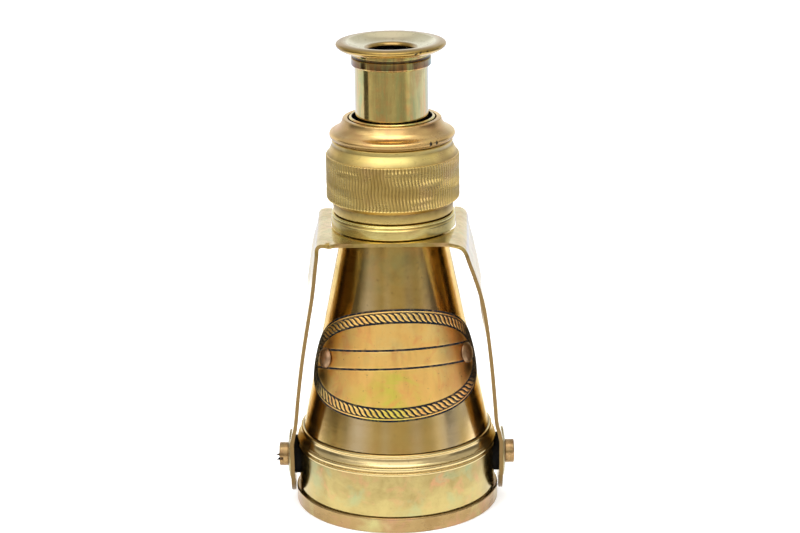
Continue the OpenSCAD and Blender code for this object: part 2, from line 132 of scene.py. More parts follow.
def profile_facts(points):
    """A profile's points, its outward normals, and how hollow and how sharp it is at each point."""
    p = np.array(points, float)
    after = np.roll(p, -1, 0)
    if np.sum(p[:, 0] * after[:, 1] - after[:, 0] * p[:, 1]) < 0:
        p = p[::-1].copy()
    d = np.roll(p, -1, 0) - p
    length = np.linalg.norm(d, axis=1)
    side = np.stack([d[:, 1], -d[:, 0]], 1)
    normal = side + np.roll(side, 1, 0)
    normal /= np.maximum(np.linalg.norm(normal, axis=1), 1e-9)[:, None]
    before = np.roll(d, 1, 0)
    bend = np.arctan2(before[:, 0] * d[:, 1] - before[:, 1] * d[:, 0], np.sum(before * d, 1))
    run = np.concatenate([[0], np.cumsum(length)])
    total, run = run[-1], run[:-1]
    gap = np.abs(run[:, None] - run[None, :])
    smooth = np.exp(-(np.minimum(gap, total - gap) / CORNER_REACH) ** 2) @ bend
    return p, normal, np.clip(-smooth / FULLY_HOLLOW, 0, 1), np.clip(smooth / FULLY_SHARP, 0, 1)


def surface_normals(verts, faces, fallback, moved):
    """Normals of the real surface where points were moved, and of the smooth profile elsewhere."""
    cross = np.cross(verts[faces[:, 2]] - verts[faces[:, 0]], verts[faces[:, 3]] - verts[faces[:, 1]])
    out = np.zeros_like(verts)
    for k in range(4):
        np.add.at(out, faces[:, k], cross)
    out /= np.maximum(np.linalg.norm(out, axis=1), 1e-12)[:, None]
    out *= np.where(np.sum(out * fallback, 1) < 0, -1, 1)[:, None]
    near = (moved > 1e-4).astype(float)
    touched = near[faces].max(1)
    for k in range(4):
        np.maximum.at(near, faces[:, k], touched)
    mixed = out * near[:, None] + fallback * (1 - near[:, None])
    return mixed / np.linalg.norm(mixed, axis=1)[:, None]


def grid_faces(rows, columns, closed_rows=False, closed_columns=False):
    """Four-sided faces of a grid of points that are numbered row by row."""
    i, j = np.meshgrid(np.arange(rows - (not closed_rows)), np.arange(columns - (not closed_columns)),
                       indexing="ij")
    i2, j2 = (i + 1) % rows, (j + 1) % columns
    corners = [i * columns + j, i * columns + j2, i2 * columns + j2, i2 * columns + j]
    return np.stack(corners, 2).reshape(-1, 4)


def turned(points, steps, rounding=ROUNDING, shape=None, centre=(0, 0, 0), axis=(0, 0, 1)):
    """Points, faces, normals and surface values of a closed profile of (radius, height) turned round an axis.
    shape(angle, radius, height) gives a change of radius, a dark value, and one that mixes in the material's
    second colour."""
    p, normal, hollow, sharp = profile_facts(rounded(points, rounding))
    w = np.array(axis, float) / np.linalg.norm(axis)
    u = np.cross((0, 0, 1), w) if abs(w[2]) < 0.9 else np.array((1.0, 0, 0))
    u = u / np.linalg.norm(u)
    angle = np.linspace(0, 2 * np.pi, steps, endpoint=False)
    ring = np.cos(angle)[:, None] * u + np.sin(angle)[:, None] * np.cross(w, u)
    a, r = np.meshgrid(angle, p[:, 0])
    z = np.repeat(p[:, 1][:, None], steps, 1)
    change, dark, extra = (np.zeros_like(r) + value for value in (shape(a, r, z) if shape else (0, 0, 0)))
    verts = (np.array(centre) + (r + change)[..., None] * ring + z[..., None] * w).reshape(-1, 3)
    normals = (normal[:, :1, None] * ring + normal[:, 1:, None] * w).reshape(-1, 3)
    faces = grid_faces(len(p), steps, True, True)
    if np.abs(change).max() > 0:
        normals = surface_normals(verts, faces, normals, np.abs(change).reshape(-1))
    values = np.stack([np.repeat(hollow, steps), np.repeat(sharp, steps), dark.reshape(-1), extra.reshape(-1)])
    return verts, faces.tolist(), normals, values


def new_object(name, verts, faces, body, material, replaces, normals=None, values=None):
    """A piece that takes the place of a node and rides on a body."""
    mesh = bpy.data.meshes.new(name)
    mesh.from_pydata((np.asarray(verts, float) * MM).tolist(), [], faces)
    mesh.update()
    obj = bpy.data.objects.new(name, mesh)
    scene.collection.objects.link(obj)
    mesh.polygons.foreach_set("use_smooth", [True] * len(mesh.polygons))
    if normals is not None:
        mesh.normals_split_custom_set_from_vertices(np.asarray(normals, float).tolist())
    for key, value in (values or {}).items():
        attribute = mesh.attributes.new(key, "FLOAT", "POINT")
        attribute.data.foreach_set("value", np.asarray(value, np.float32))
    mesh.materials.append(material)
    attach(obj, body)
    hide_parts(*replaces)
    return obj


def joined(node, parts, body, material):
    """One piece of several parts, each as turned() gives it."""
    faces, first = [], 0
    for verts, sides, _, _ in parts:
        faces += [[k + first for k in side] for side in sides]
        first += len(verts)
    verts, normals = (np.concatenate([part[k] for part in parts]) for k in (0, 2))
    values = dict(zip(("hollow", "sharp", "mark", "extra"), np.concatenate([part[3] for part in parts], 1)))
    return new_object(node + "_look", verts, faces, body, material, [node], normals, values)


def lathe(node, points, body, material, steps=288, shape=None, rounding=ROUNDING):
    """A piece turned round the optical axis."""
    return joined(node, [turned(points, steps, rounding, shape)], body, material)


# Materials
class Tree:
    """A material, with short ways to add nodes to it and link them."""

    def __init__(self, name):
        self.material = bpy.data.materials.new(name)
        self.material.use_nodes = True
        self.tree = self.material.node_tree
        self.shader = self.tree.nodes["Principled BSDF"]

    def add(self, kind, inputs=(), **settings):
        node = self.tree.nodes.new(kind)
        for key, value in settings.items():
            setattr(node, key, value)
        for key, value in dict(inputs).items():
            self.put(value, node.inputs[key])
        return node

    def put(self, value, socket):
        if isinstance(value, bpy.types.NodeSocket):
            self.tree.links.new(value, socket)
        else:
            socket.default_value = value

    def set(self, **inputs):
        """Inputs of the shader, with _ for each space of their names."""
        for key, value in inputs.items():
            self.put(value, self.shader.inputs[key.replace("_", " ")])

    def coords(self, scale=(1, 1, 1), shift=(0, 0, 0)):
        source = self.add("ShaderNodeTexCoord").outputs["Object"]
        return self.add("ShaderNodeMapping", {"Vector": source, "Scale": scale, "Location": shift}).outputs[0]

    def noise(self, vector, scale, detail=3.0, rough=0.55, distortion=0.0):
        return self.add("ShaderNodeTexNoise", {"Vector": vector, "Scale": scale, "Detail": detail,
                                               "Roughness": rough, "Distortion": distortion}).outputs[0]

    def ramp(self, value, stops):
        node = self.add("ShaderNodeValToRGB", {"Fac": value})
        places = node.color_ramp.elements
        while len(places) < len(stops):
            places.new(0.5)
        for place, (position, colour) in zip(places, stops):
            place.position = position
            place.color = (*colour, 1)
        return node.outputs[0]

    def grade(self, value, low, high, to_low=0.0, to_high=1.0):
        return self.add("ShaderNodeMapRange", {"Value": value, "From Min": low, "From Max": high,
                                               "To Min": to_low, "To Max": to_high}).outputs[0]

    def math(self, operation, a, b=0.0):
        node = self.add("ShaderNodeMath", operation=operation)
        self.put(a, node.inputs[0])
        self.put(b, node.inputs[1])
        return node.outputs[0]

    def mix(self, factor, a, b):
        node = self.add("ShaderNodeMix", data_type="RGBA")
        self.put(factor, node.inputs[0])
        for value, socket in ((a, node.inputs[6]), (b, node.inputs[7])):
            self.put((*value, 1) if isinstance(value, tuple) else value, socket)
        return node.outputs[2]

    def stain(self, colour, tone, much, low, high, scale, shift=(0, 0, 0), detail=3.0, rough=0.6,
              distortion=0.0, stretch=(1, 1, 1)):
        """A colour with soft patches of another tone, as strong as much where a noise is above high."""
        patch = self.noise(self.coords(stretch, shift), scale, detail, rough, distortion)
        return self.mix(self.grade(patch, low, high, 0, much), colour, tone)

    def attribute(self, name):
        return self.add("ShaderNodeAttribute", attribute_name=name).outputs["Fac"]

    def bump(self, height, distance, strength, normal=None):
        inputs = {"Height": height, "Distance": distance, "Strength": strength}
        if normal is not None:
            inputs["Normal"] = normal
        return self.add("ShaderNodeBump", inputs).outputs[0]


def brass(name, light, mid, deep, pink=(0.78, 0.46, 0.26), green=(0.55, 0.56, 0.24), blotch=75.0, tint=0.35,
          rough=(0.16, 0.30), streaks=0.0, dirt=(0.10, 0.06, 0.025), seed=0.0, aniso=0.45, coat=0.15,
          dirt_amount=1.0, marks=(0.02, 0.016, 0.01), second=None):
    """Aged polished brass: warm and green stains in soft patches, fine turning lines, grime in the hollows
    and brighter metal on the sharp edges."""
    t = Tree(name)
    at = t.coords(shift=(seed, seed * 0.7, seed * 0.3))
    patch = t.noise(at, blotch, 4.0, 0.62, 0.4)
    colour = t.ramp(patch, [(0.30, deep), (0.46, mid), (0.60, light), (0.75, mid)])
    colour = t.stain(colour, pink, tint, 0.53, 0.72, blotch * 1.35, (seed + 3.1, 1.7, seed), distortion=0.6)
    colour = t.stain(colour, green, tint, 0.54, 0.74, blotch * 0.9, (2.3, seed + 5.9, 0.4), distortion=0.5)
    if second:
        colour = t.mix(t.attribute("extra"), colour, second)
    colour = t.stain(colour, dirt, 0.30, 0.62, 0.74, blotch * 9, (seed, 9.2, 4.4), 2.0, 0.7)
    lines = t.noise(t.coords((0.03, 0.03, 1.0), (0, 0, seed)), 1500.0, 3.0, 0.75)
    colour = t.stain(colour, deep, 0.22, 0.35, 0.7, 260.0, (0, 0, seed + 0.5), 2.0, stretch=(0.05, 0.05, 1.0))
    if streaks:
        for shift, tone, much in ((0.3, pink, 1.3), (4.1, green, 1.5), (7.7, light, 1.2)):
            colour = t.stain(colour, tone, min(1, streaks * much * 1.6), 0.50, 0.64, 210.0, (seed, shift, 0),
                             rough=0.65, distortion=0.5, stretch=(1.0, 1.0, 0.16))
        colour = t.stain(colour, dirt, streaks, 0.50, 0.72, 520.0, (seed, 0, 0), rough=0.7,
                         stretch=(1.0, 1.0, 0.035))
    worn = tuple(min(1, c * 1.18) for c in light)
    colour = t.mix(t.grade(t.attribute("sharp"), 0.25, 0.9, 0, 0.45), colour, worn)
    uneven = t.grade(t.noise(at, blotch * 5, 3.0, 0.6), 0.3, 0.7, 0.65, 1.0)
    grime = t.math("MULTIPLY", t.grade(t.attribute("hollow"), 0.12, 0.75, 0, dirt_amount), uneven)
    colour = t.mix(grime, colour, dirt)
    colour = t.mix(t.attribute("mark"), colour, marks)
    shine = t.math("ADD", t.grade(patch, 0.3, 0.7, rough[1], rough[0]), t.math("MULTIPLY", grime, 0.25))
    shine = t.math("ADD", shine, t.grade(lines, 0.35, 0.7, -0.02, 0.05))
    tangent = t.add("ShaderNodeTangent", direction_type="RADIAL", axis="Z").outputs[0]
    normal = t.bump(lines, 0.000012, 0.5)
    normal = t.bump(t.noise(t.coords(shift=(1.4, seed, 2.2)), blotch * 2.2, 2.0, 0.5), 0.00006, 0.5, normal)
    t.set(Base_Color=colour, Metallic=1.0, Specular_IOR_Level=0.35, Roughness=shine, Anisotropic=aniso,
          Coat_Weight=coat, Coat_Roughness=0.12, Tangent=tangent, Normal=normal)
    return t.material


def plain(name, colour, rough, metallic=0.0, gloss=0.5):
    """A dark or hidden material, a little uneven."""
    t = Tree(name)
    n = t.noise(t.coords(), 400.0, 3.0, 0.6)
    dark = tuple(0.75 * c for c in colour)
    t.set(Specular_IOR_Level=gloss, Base_Color=t.ramp(n, [(0.3, dark), (0.7, colour)]), Metallic=metallic,
          Roughness=t.grade(n, 0.3, 0.7, rough - 0.08, rough + 0.08), Normal=t.bump(n, 0.00004, 0.6))
    return t.material


def glass(name):
    """Clear glass with faint smears."""
    t = Tree(name)
    smears = t.grade(t.noise(t.coords(), 90.0, 2.0, 0.5), 0.4, 0.8, 0.01, 0.05)
    t.set(Base_Color=(0.96, 0.99, 0.985, 1), Transmission_Weight=1.0, IOR=1.52, Roughness=smears)
    return t.material


base_brass = brass(
    "base_brass", (0.40, 0.275, 0.115), (0.35, 0.235, 0.095), (0.27, 0.165, 0.06), pink=(0.48, 0.24, 0.15),
    tint=0.8, seed=1.0, dirt_amount=0.3)
# Its second colour is a painted highlight on the beads
drum_brass = brass(
    "drum_brass", (0.47, 0.375, 0.145), (0.40, 0.31, 0.115), (0.31, 0.23, 0.08), pink=(0.53, 0.30, 0.14),
    green=(0.33, 0.375, 0.19), blotch=120.0, tint=1.1, rough=(0.12, 0.19), seed=2.0, dirt_amount=0.35,
    second=(0.82, 0.64, 0.32))
# Its second colour is the cone's painted highlights and pale streaks; its marks colour is black inside, painted
# shade and dark streaks
barrel_brass = brass(
    "barrel_brass", (0.68, 0.45, 0.125), (0.60, 0.385, 0.095), (0.42, 0.25, 0.055), pink=(0.70, 0.35, 0.10),
    green=(0.42, 0.41, 0.15), blotch=80.0, tint=0.6, rough=(0.10, 0.18), seed=3.0, coat=0.25,
    second=(0.95, 0.85, 0.67), marks=(0.05, 0.032, 0.008))
collar_brass = brass(
    "collar_brass", (0.97, 0.82, 0.34), (0.91, 0.73, 0.27), (0.70, 0.50, 0.16), pink=(0.86, 0.52, 0.22),
    green=(0.64, 0.62, 0.20), blotch=85.0, rough=(0.12, 0.22), seed=4.0, dirt_amount=0.6)
# Its second colour is painted shade under the disc
flare_brass = brass(
    "flare_brass", (0.86, 0.59, 0.235), (0.78, 0.50, 0.19), (0.58, 0.32, 0.11), pink=(0.80, 0.40, 0.20),
    green=(0.76, 0.60, 0.22), blotch=60.0, tint=0.6, rough=(0.18, 0.28), seed=5.0, second=(0.20, 0.125, 0.04))
# Its second colour is the painted highlight on the chamfer above the knurl
knurled_brass = brass(
    "knurled_brass", (0.75, 0.56, 0.19), (0.66, 0.47, 0.145), (0.49, 0.33, 0.09), blotch=70.0,
    rough=(0.22, 0.34), seed=6.0, dirt=(0.12, 0.075, 0.03), marks=(0.20, 0.13, 0.05),
    second=(0.97, 0.82, 0.30))
# Its second colour darkens the draw tube's streaks, the broad one a painted reflection, and the eye ring below
# its groove
tube_brass = brass(
    "tube_brass", (0.76, 0.60, 0.20), (0.56, 0.40, 0.12), (0.40, 0.26, 0.07), pink=(0.80, 0.34, 0.10),
    green=(0.34, 0.46, 0.17), blotch=150.0, tint=1.2, streaks=0.7, rough=(0.07, 0.15), seed=7.0, coat=0.3,
    second=(0.30, 0.12, 0.03))
eyecup_brass = brass(
    "eyecup_brass", (0.42, 0.28, 0.08), (0.36, 0.235, 0.06), (0.27, 0.16, 0.04), blotch=70.0,
    green=(0.44, 0.38, 0.13), rough=(0.12, 0.2), seed=8.0, second=(0.88, 0.85, 0.62))
sheet_brass = brass(
    "sheet_brass", (0.80, 0.66, 0.35), (0.70, 0.56, 0.27), (0.52, 0.38, 0.15), blotch=80.0, tint=0.6,
    pink=(0.82, 0.56, 0.36), green=(0.64, 0.62, 0.32), streaks=0.22, rough=(0.12, 0.22), seed=9.0, aniso=0.0,
    marks=(0.15, 0.09, 0.03))
# A darker copy of the sheet brass for the sheet's cut edges, painted shade, with its second colour darker still
# on the arms' edges
shaded_sheet_edge = brass(
    "shaded_sheet_edge", (0.42, 0.30, 0.10), (0.35, 0.245, 0.075), (0.24, 0.15, 0.04), blotch=120.0,
    rough=(0.24, 0.36), seed=9.5, aniso=0.0, second=(0.19, 0.12, 0.045))
washer_brass = brass(
    "washer_brass", (0.30, 0.25, 0.12), (0.25, 0.205, 0.09), (0.16, 0.12, 0.045), blotch=150.0,
    rough=(0.24, 0.36), seed=12.0, aniso=0.0)
screw_brass = brass(
    "screw_brass", (0.36, 0.235, 0.10), (0.30, 0.18, 0.075), (0.20, 0.11, 0.045), blotch=260.0,
    rough=(0.2, 0.32), seed=10.0, aniso=0.0)
copper_rivet = brass(
    "copper_rivet", (0.33, 0.21, 0.12), (0.27, 0.165, 0.09), (0.18, 0.105, 0.055), blotch=240.0,
    rough=(0.38, 0.52), seed=11.0, aniso=0.0, pink=(0.42, 0.22, 0.14), green=(0.30, 0.27, 0.14))
blackened = plain("blackened_brass", (0.018, 0.017, 0.016), 0.6, 0.3)
rubber = plain("black_rubber", (0.010, 0.009, 0.009), 0.7, gloss=0.12)
steel = plain("steel", (0.5, 0.5, 0.52), 0.3, 1.0)
lens_glass = glass("lens_glass")

for material, names in (
        (base_brass, "objective_cell"), (drum_brass, "objective_housing"), (barrel_brass, "barrel_cone"),
        (collar_brass, "plaque neck_collar"), (flare_brass, "top_collar"), (knurled_brass, "focus_ring"),
        (tube_brass, "guide_sleeve draw_tube eye_ring"), (eyecup_brass, "eyecup"),
        (sheet_brass, "bracket left_washer right_washer"), (screw_brass, "pivot_screws pivot_nuts"),
        (copper_rivet, "plaque_rivets"), (blackened, "objective_retainer baffle eye_retainer"),
        (rubber, "left_spacer right_spacer"), (steel, "focus_pin"),
        (lens_glass, "crown_lens flint_lens eye_lens")):
    for node in names.split():
        for place in nodes[node].material_slots:
            place.material = material

# Objective end and barrel
FIT = 0.05
BASE_R, BASE_H, RECESS_R, RECESS_H, CLEAR_R, SEAT_Z = 34.2, 5.2, 30, 2.1, 28.2, 4.2
CELL_R, CELL_BORE, CELL_TOP = 31.4, 29.55, 11.2
DRUM_R, DRUM_LOW, DRUM_TOP, DRUM_BORE, BEAD_Z = 33.1, 5.3, 19.4, 30.75, 21.8
FOOT_R, FOOT_Z, TOP_R, TOP_Z, NECK_TOP, SKIRT_Z, WALL = 31.2, 26.75, 16.9, 96.2, 100.5, 21, 1.2
SLOPE = (FOOT_R - TOP_R) / (TOP_Z - FOOT_Z)
CONE_ANGLE = math.atan(SLOPE)
APEX_Z = TOP_Z + TOP_R / SLOPE
# Pale and dark patches down the lower cone, partly painted reflections: direction, half width and strength
CONE_PALE = ((-25, 8, 0.9), (-7, 3.5, 0.3), (13, 4.5, 0.35), (34, 9, 0.6), (63, 12, 0.9), (-70, 12, 0.8),
             (104, 9, 0.4), (150, 14, 0.5), (-122, 12, 0.5))
CONE_DARK = ((-52, 10, 0.45), (80, 6, 0.3), (178, 8, 0.3), (-85, 8, 0.3))


def drum_marks(a, r, z):
    """Black inside, and a painted highlight of paler metal on the beads."""
    return 0, r < DRUM_R - 1.6, 0.85 * step(z, DRUM_TOP, DRUM_TOP + 0.8)


def cone_marks(a, r, z):
    """Black inside. Outside, pale and dark streaks down the lower part, partly painted reflections, painted
    shade on the upper part to both sides of the front, and a painted highlight where the cone turns away."""
    side = np.abs(turn_of(a))
    low = step(50 - z, 0, 16)
    outer = step(side, 24, 31) - step(side, 62, 70)
    inner = step(side, 7, 14) - step(side, 24, 31)
    # Painted shade: a dark reflection painted on the upper cone to both sides of the front
    painted_shade = step(z, 46, 66) * (0.55 * outer + 0.22 * inner)
    # Painted highlight: paler metal on the sides that turn away from the front
    edge = (step(side, 64, 72) - step(side, 94, 122)) * np.maximum(step(z, 46, 60), 0.85 * step(side, 68, 77))
    black = r < np.minimum(TOP_R + (TOP_Z - z) * SLOPE - WALL / 2, FOOT_R - WALL + 0.2)
    dark = np.maximum(black, np.maximum(patches(a, CONE_DARK) * low, painted_shade))
    return 0, dark, np.maximum(patches(a, CONE_PALE) * low, 0.95 * edge)


lathe("objective_cell", [
    (RECESS_R, 0, 0.1), (BASE_R - 0.3, 0, 0.2), (BASE_R, 0.4, 0.2), (BASE_R, BASE_H, 0.5), (CELL_R, BASE_H),
    (CELL_R, CELL_TOP), (CELL_BORE, CELL_TOP), (CELL_BORE, SEAT_Z), (CLEAR_R, SEAT_Z), (CLEAR_R, RECESS_H),
    (RECESS_R, RECESS_H)], "barrel", base_brass)
lathe("objective_housing",
      [(DRUM_BORE, CELL_TOP + 0.2), (CELL_R + FIT, CELL_TOP + 0.2), (CELL_R + FIT, DRUM_LOW),
       (DRUM_R - 0.08, DRUM_LOW), (DRUM_R, DRUM_LOW + 0.08), (DRUM_R, DRUM_TOP, 0.2)]
      + arc(DRUM_R - 0.1, BEAD_Z - 1.7, 0.55, -80, 80, 14) + [(DRUM_R - 0.2, BEAD_Z - 0.95, 0.1)]
      + arc(DRUM_R - 0.2, BEAD_Z, 0.75, -75, 80, 16)
      + arc(FOOT_R + 3.7, BEAD_Z + 3.8, 3, 240, 182, 18)
      + arc(FOOT_R + 0.6, BEAD_Z + 4.3, 0.5, -70, 90, 12) + [(DRUM_BORE, BEAD_Z + 4.8)],
      "barrel", drum_brass, steps=360, rounding=0.1, shape=drum_marks)
lathe("barrel_cone", [
    (DRUM_BORE - FIT, SKIRT_Z), (DRUM_BORE - FIT, FOOT_Z), (FOOT_R, FOOT_Z, 0.1), (TOP_R, TOP_Z, 0.05),
    (TOP_R, NECK_TOP), (TOP_R - WALL, NECK_TOP), (TOP_R - WALL, TOP_Z), (FOOT_R - WALL, FOOT_Z),
    (DRUM_BORE - FIT - WALL, FOOT_Z - 0.5), (DRUM_BORE - FIT - WALL, SKIRT_Z)],
    "barrel", barrel_brass, steps=360, shape=cone_marks)

# Collars
NECK_R, RING_SEAT_R, RING_SEAT_TOP, SLEEVE_SEAT_R = 20.5, 18.3, 105.4, 17.35
DISC_R, DISC_Z, SLEEVE_R, MOUTH_R, FLARE_TOP = 20.6, 127.45, 14.1, 14.6, 132.9
# Painted shade round the lower collar and the flare: direction, half width and strength
NECK_PAINTED_SHADE = ((-62, 22, 0.42), (60, 22, 0.45), (128, 18, 0.3), (-140, 25, 0.35))
FLARE_PAINTED_SHADE = ((-64, 24, 0.36), (62, 24, 0.38), (135, 20, 0.3), (-150, 25, 0.3))
DISC_DENTS = ((37.5, DISC_Z, 0.62, 0.93), (44.5, DISC_Z, 0.55, 0.825))


def neck_marks(a, r, z):
    """Painted shade round the lower collar: dark patches to both sides of the front and at the back."""
    return 0, patches(a, NECK_PAINTED_SHADE), 0


def collar_marks(a, r, z):
    """Two small dents in the disc's rim, painted shade on the flare to both sides of the front and at the back,
    and painted shade under the disc.
    """
    dent = dents(a, z, DISC_R, DISC_DENTS) * (r > DISC_R - 1.1)
    # Painted shade: dark patches on the flare, to both sides of the front and at the back
    painted_shade = patches(a, FLARE_PAINTED_SHADE) * step(z, DISC_Z + 0.15, DISC_Z + 1.55)
    return -0.35 * dent, np.maximum(np.clip(dent * 2.2, 0, 1), painted_shade), step(DISC_Z + 0.1 - z, 0, 0.5)


lathe("neck_collar",
      [(TOP_R + FIT, TOP_Z), (NECK_R - 0.4, TOP_Z, 0.1), (NECK_R, TOP_Z + 0.4, 0.2)]
      + arc(NECK_R - 0.9, TOP_Z + 2.9, 0.9, 0, 62, 10) + [(NECK_R - 0.6, TOP_Z + 3.95, 0.1)]
      + arc(NECK_R - 0.6, TOP_Z + 4.55, 0.5, -80, 80, 12)
      + [(RING_SEAT_R, TOP_Z + 5.15), (RING_SEAT_R, RING_SEAT_TOP), (SLEEVE_SEAT_R, RING_SEAT_TOP),
         (SLEEVE_SEAT_R, NECK_TOP), (TOP_R + FIT, NECK_TOP)],
      "barrel", collar_brass, shape=neck_marks)
lathe("top_collar",
      [(SLEEVE_R + FIT, DISC_Z - 1.45), (DISC_R - 0.8, DISC_Z - 1.45, 0.1), (DISC_R - 0.55, DISC_Z - 1.2, 0.1)]
      + arc(DISC_R - 1.1, DISC_Z, 1.15, -60, 62, 20)
      + arc(DISC_R + 0.6, DISC_Z + 6.15, 5.1, 250, 190, 24)
      + arc(MOUTH_R + 1.1, FLARE_TOP - 0.4, 0.4, 0, 90, 6)
      + [(MOUTH_R, FLARE_TOP, 0.1), (MOUTH_R, FLARE_TOP - 1.7), (SLEEVE_R + FIT, FLARE_TOP - 1.7)],
      "barrel", flare_brass, steps=720, shape=collar_marks, rounding=0.1)

# Eye end
TUBE_R, TUBE_BORE, TUBE_LOW, TUBE_TOP, EYE_SEAT_R = 12, 11.1, 103, 153, 9.8
SLEEVE_LOW, SLEEVE_TOP, SLEEVE_BORE, SLEEVE_BLACK_R, SLEEVE_FOOT_R = 100.6, 133.3, 13.2, 13.35, 17.3
CUP_R, HOLE_R, HOLE_EDGE, DISH_R, DISH_TOP, DISH_DEEP = 18.05, 7.25, 1.0, 14.3, 158.05, 2.1
TUBE_STREAKS = ((-14, 2.2, 0.20), (-2, 1.5, 0.14), (9, 2.6, 0.16), (36, 1.4, 0.18), (74, 3.5, 0.25),
                (-78, 3.0, 0.2), (118, 6, 0.3), (163, 4, 0.25), (-140, 5, 0.3))
CUP_DENTS = ((26.5, 156.9, 0.75, 0.42), (32, 157.2, 0.55, 0.3), (41, 157.3, 0.5, 0.22))


def tube_marks(a, r, z):
    """The tube is black inside. Outside it is streaked along its length, with one broad brown streak that is a
    painted reflection.
    """
    streaks_and_painted_reflection = np.maximum(np.exp(-((turn_of(a) + 42.5) / 4.6) ** 4), patches(a, TUBE_STREAKS))
    return 0, r < TUBE_BORE + 0.2, streaks_and_painted_reflection * (r > TUBE_R - 0.5)


def ring_marks(a, r, z):
    """The ring is darker below its groove, and black inside."""
    low = step(153.5 - z, 0, 0.2)
    return 0, np.maximum(r < 10.5, 0.3 * low), low


def sleeve_marks(a, r, z):
    """The sleeve is black inside."""
    return 0, r < SLEEVE_BLACK_R, 0


def cup_marks(a, r, z):
    """Three small nicks in the rim, the paler metal of the dish, made duller at the back by painted shade, and
    a black bore.
    """
    dent = dents(a, z, CUP_R - 0.25, CUP_DENTS, lean=0.25) * (r > CUP_R - 1.45)
    pale = step(DISH_R + 0.6 - r, -0.5, 0.5) * step(z, 155.7, 155.85) * step(r, HOLE_R + 1.05, HOLE_R + 1.65)
    # Painted shade: the outer part of the dish is less pale at the back
    pale *= 1 - 0.35 * step(np.sin(a), 0.55, 0.95) * step(r, 9.0, 10.5)
    return -0.28 * dent, np.maximum(np.clip(dent * 2.2, 0, 0.9), (z < 154.9) & (r < 11)), pale


lathe("draw_tube", [
    (TUBE_BORE, TUBE_LOW), (TUBE_R - 0.2, TUBE_LOW), (TUBE_R, TUBE_LOW + 0.2), (TUBE_R, TUBE_TOP),
    (TUBE_BORE, TUBE_TOP), (TUBE_BORE, TUBE_TOP - 4), (EYE_SEAT_R, TUBE_TOP - 4),
    (EYE_SEAT_R, TUBE_TOP - 4.8), (TUBE_BORE, TUBE_TOP - 5.8)],
    "draw_tube", tube_brass, steps=360, shape=tube_marks)
lathe("eye_ring",
      [(TUBE_R + FIT, 150.2)] + arc(12.4, 150.9, 0.7, -90, 0, 8)
      + [(13.1, 152.9, 0.25), (12.55, 153.15, 0.05), (12.55, 153.7, 0.05), (12.95, 153.95, 0.15),
         (12.95, 155.0, 0.1), (12.8, 155.2), (11.6, 155.2), (11.6, 154.4), (EYE_SEAT_R, 154.4),
         (EYE_SEAT_R, TUBE_TOP + FIT), (TUBE_R + FIT, TUBE_TOP + FIT)],
      "draw_tube", tube_brass, shape=ring_marks)
lathe("guide_sleeve", [
    (TUBE_R + FIT, SLEEVE_LOW), (SLEEVE_FOOT_R, SLEEVE_LOW), (SLEEVE_FOOT_R, SLEEVE_LOW + 2.6),
    (SLEEVE_R, SLEEVE_LOW + 2.6), (SLEEVE_R, SLEEVE_TOP - 0.3, 0.2), (SLEEVE_R - 0.3, SLEEVE_TOP, 0.2),
    (SLEEVE_BORE, SLEEVE_TOP, 0.15), (SLEEVE_BORE, SLEEVE_TOP - 3.5), (TUBE_R + FIT, SLEEVE_TOP - 3.5)],
    "barrel", tube_brass, shape=sleeve_marks)

hole_top = HOLE_R + HOLE_EDGE
dish = [(DISH_R + (hole_top - DISH_R) * k / 24, DISH_TOP - DISH_DEEP * (1 - (1 - k / 24) ** 2.1))
        for k in range(25)]
lip = [(16.2, 155.5, 0.2), (17.15, 156.02, 0.5), (17.85, 156.65, 0.7), (CUP_R, 157.25, 0.7), (17.6, 157.8, 0.9),
       (16.3, 158.12, 1.2), (14.9, 158.16, 0.9)]
lathe("eyecup",
      [(HOLE_R, 154.5, 0.05), (11.55, 154.5), (11.55, 155.25), (12.75, 155.25, 0.2)] + lip + dish
      + arc(hole_top, DISH_TOP - DISH_DEEP - HOLE_EDGE, HOLE_EDGE, 92, 180, 10),
      "draw_tube", eyecup_brass, steps=720, shape=cup_marks)

# Focusing ring
KNURL_R, KNURL_Z, KNURL_H, KNURL_DEEP = 21.95, 106.2, 14.7, 0.34
KNURL_TOP = KNURL_Z + KNURL_H
GROOVES, LEAN, ROWS = 120, math.radians(3.4), 36
REGISTER_R, RELIEF_R, RING_LOW, RING_TOP = 19.8, 16.9, 101.65, 125.7
# Where the wheel struck again, out of step: direction, height, half width in degrees and half height
DOUBLE_HITS = (
    (-13, 115.3, 17, 0.9), (9, 118.6, 13, 0.8), (-24, 109.0, 16, 0.9), (22, 109.6, 14, 0.9),
    (36, 114.4, 10, 1.2), (-44, 117.4, 12, 0.8), (-52, 112.4, 14, 0.9), (58, 118.2, 15, 0.9),
    (84, 111.3, 22, 1.0), (118, 116.6, 24, 1.1), (152, 110.2, 20, 0.9), (178, 117.3, 22, 1.0),
    (-150, 113.2, 22, 0.9), (-118, 118.0, 20, 0.8), (-88, 109.8, 18, 1.0))
# Painted highlights on the chamfer above the knurl: direction, half width and strength
CHAMFER_HIGHLIGHTS = ((2, 34, 0.85), (112, 25, 0.5), (-135, 30, 0.6))


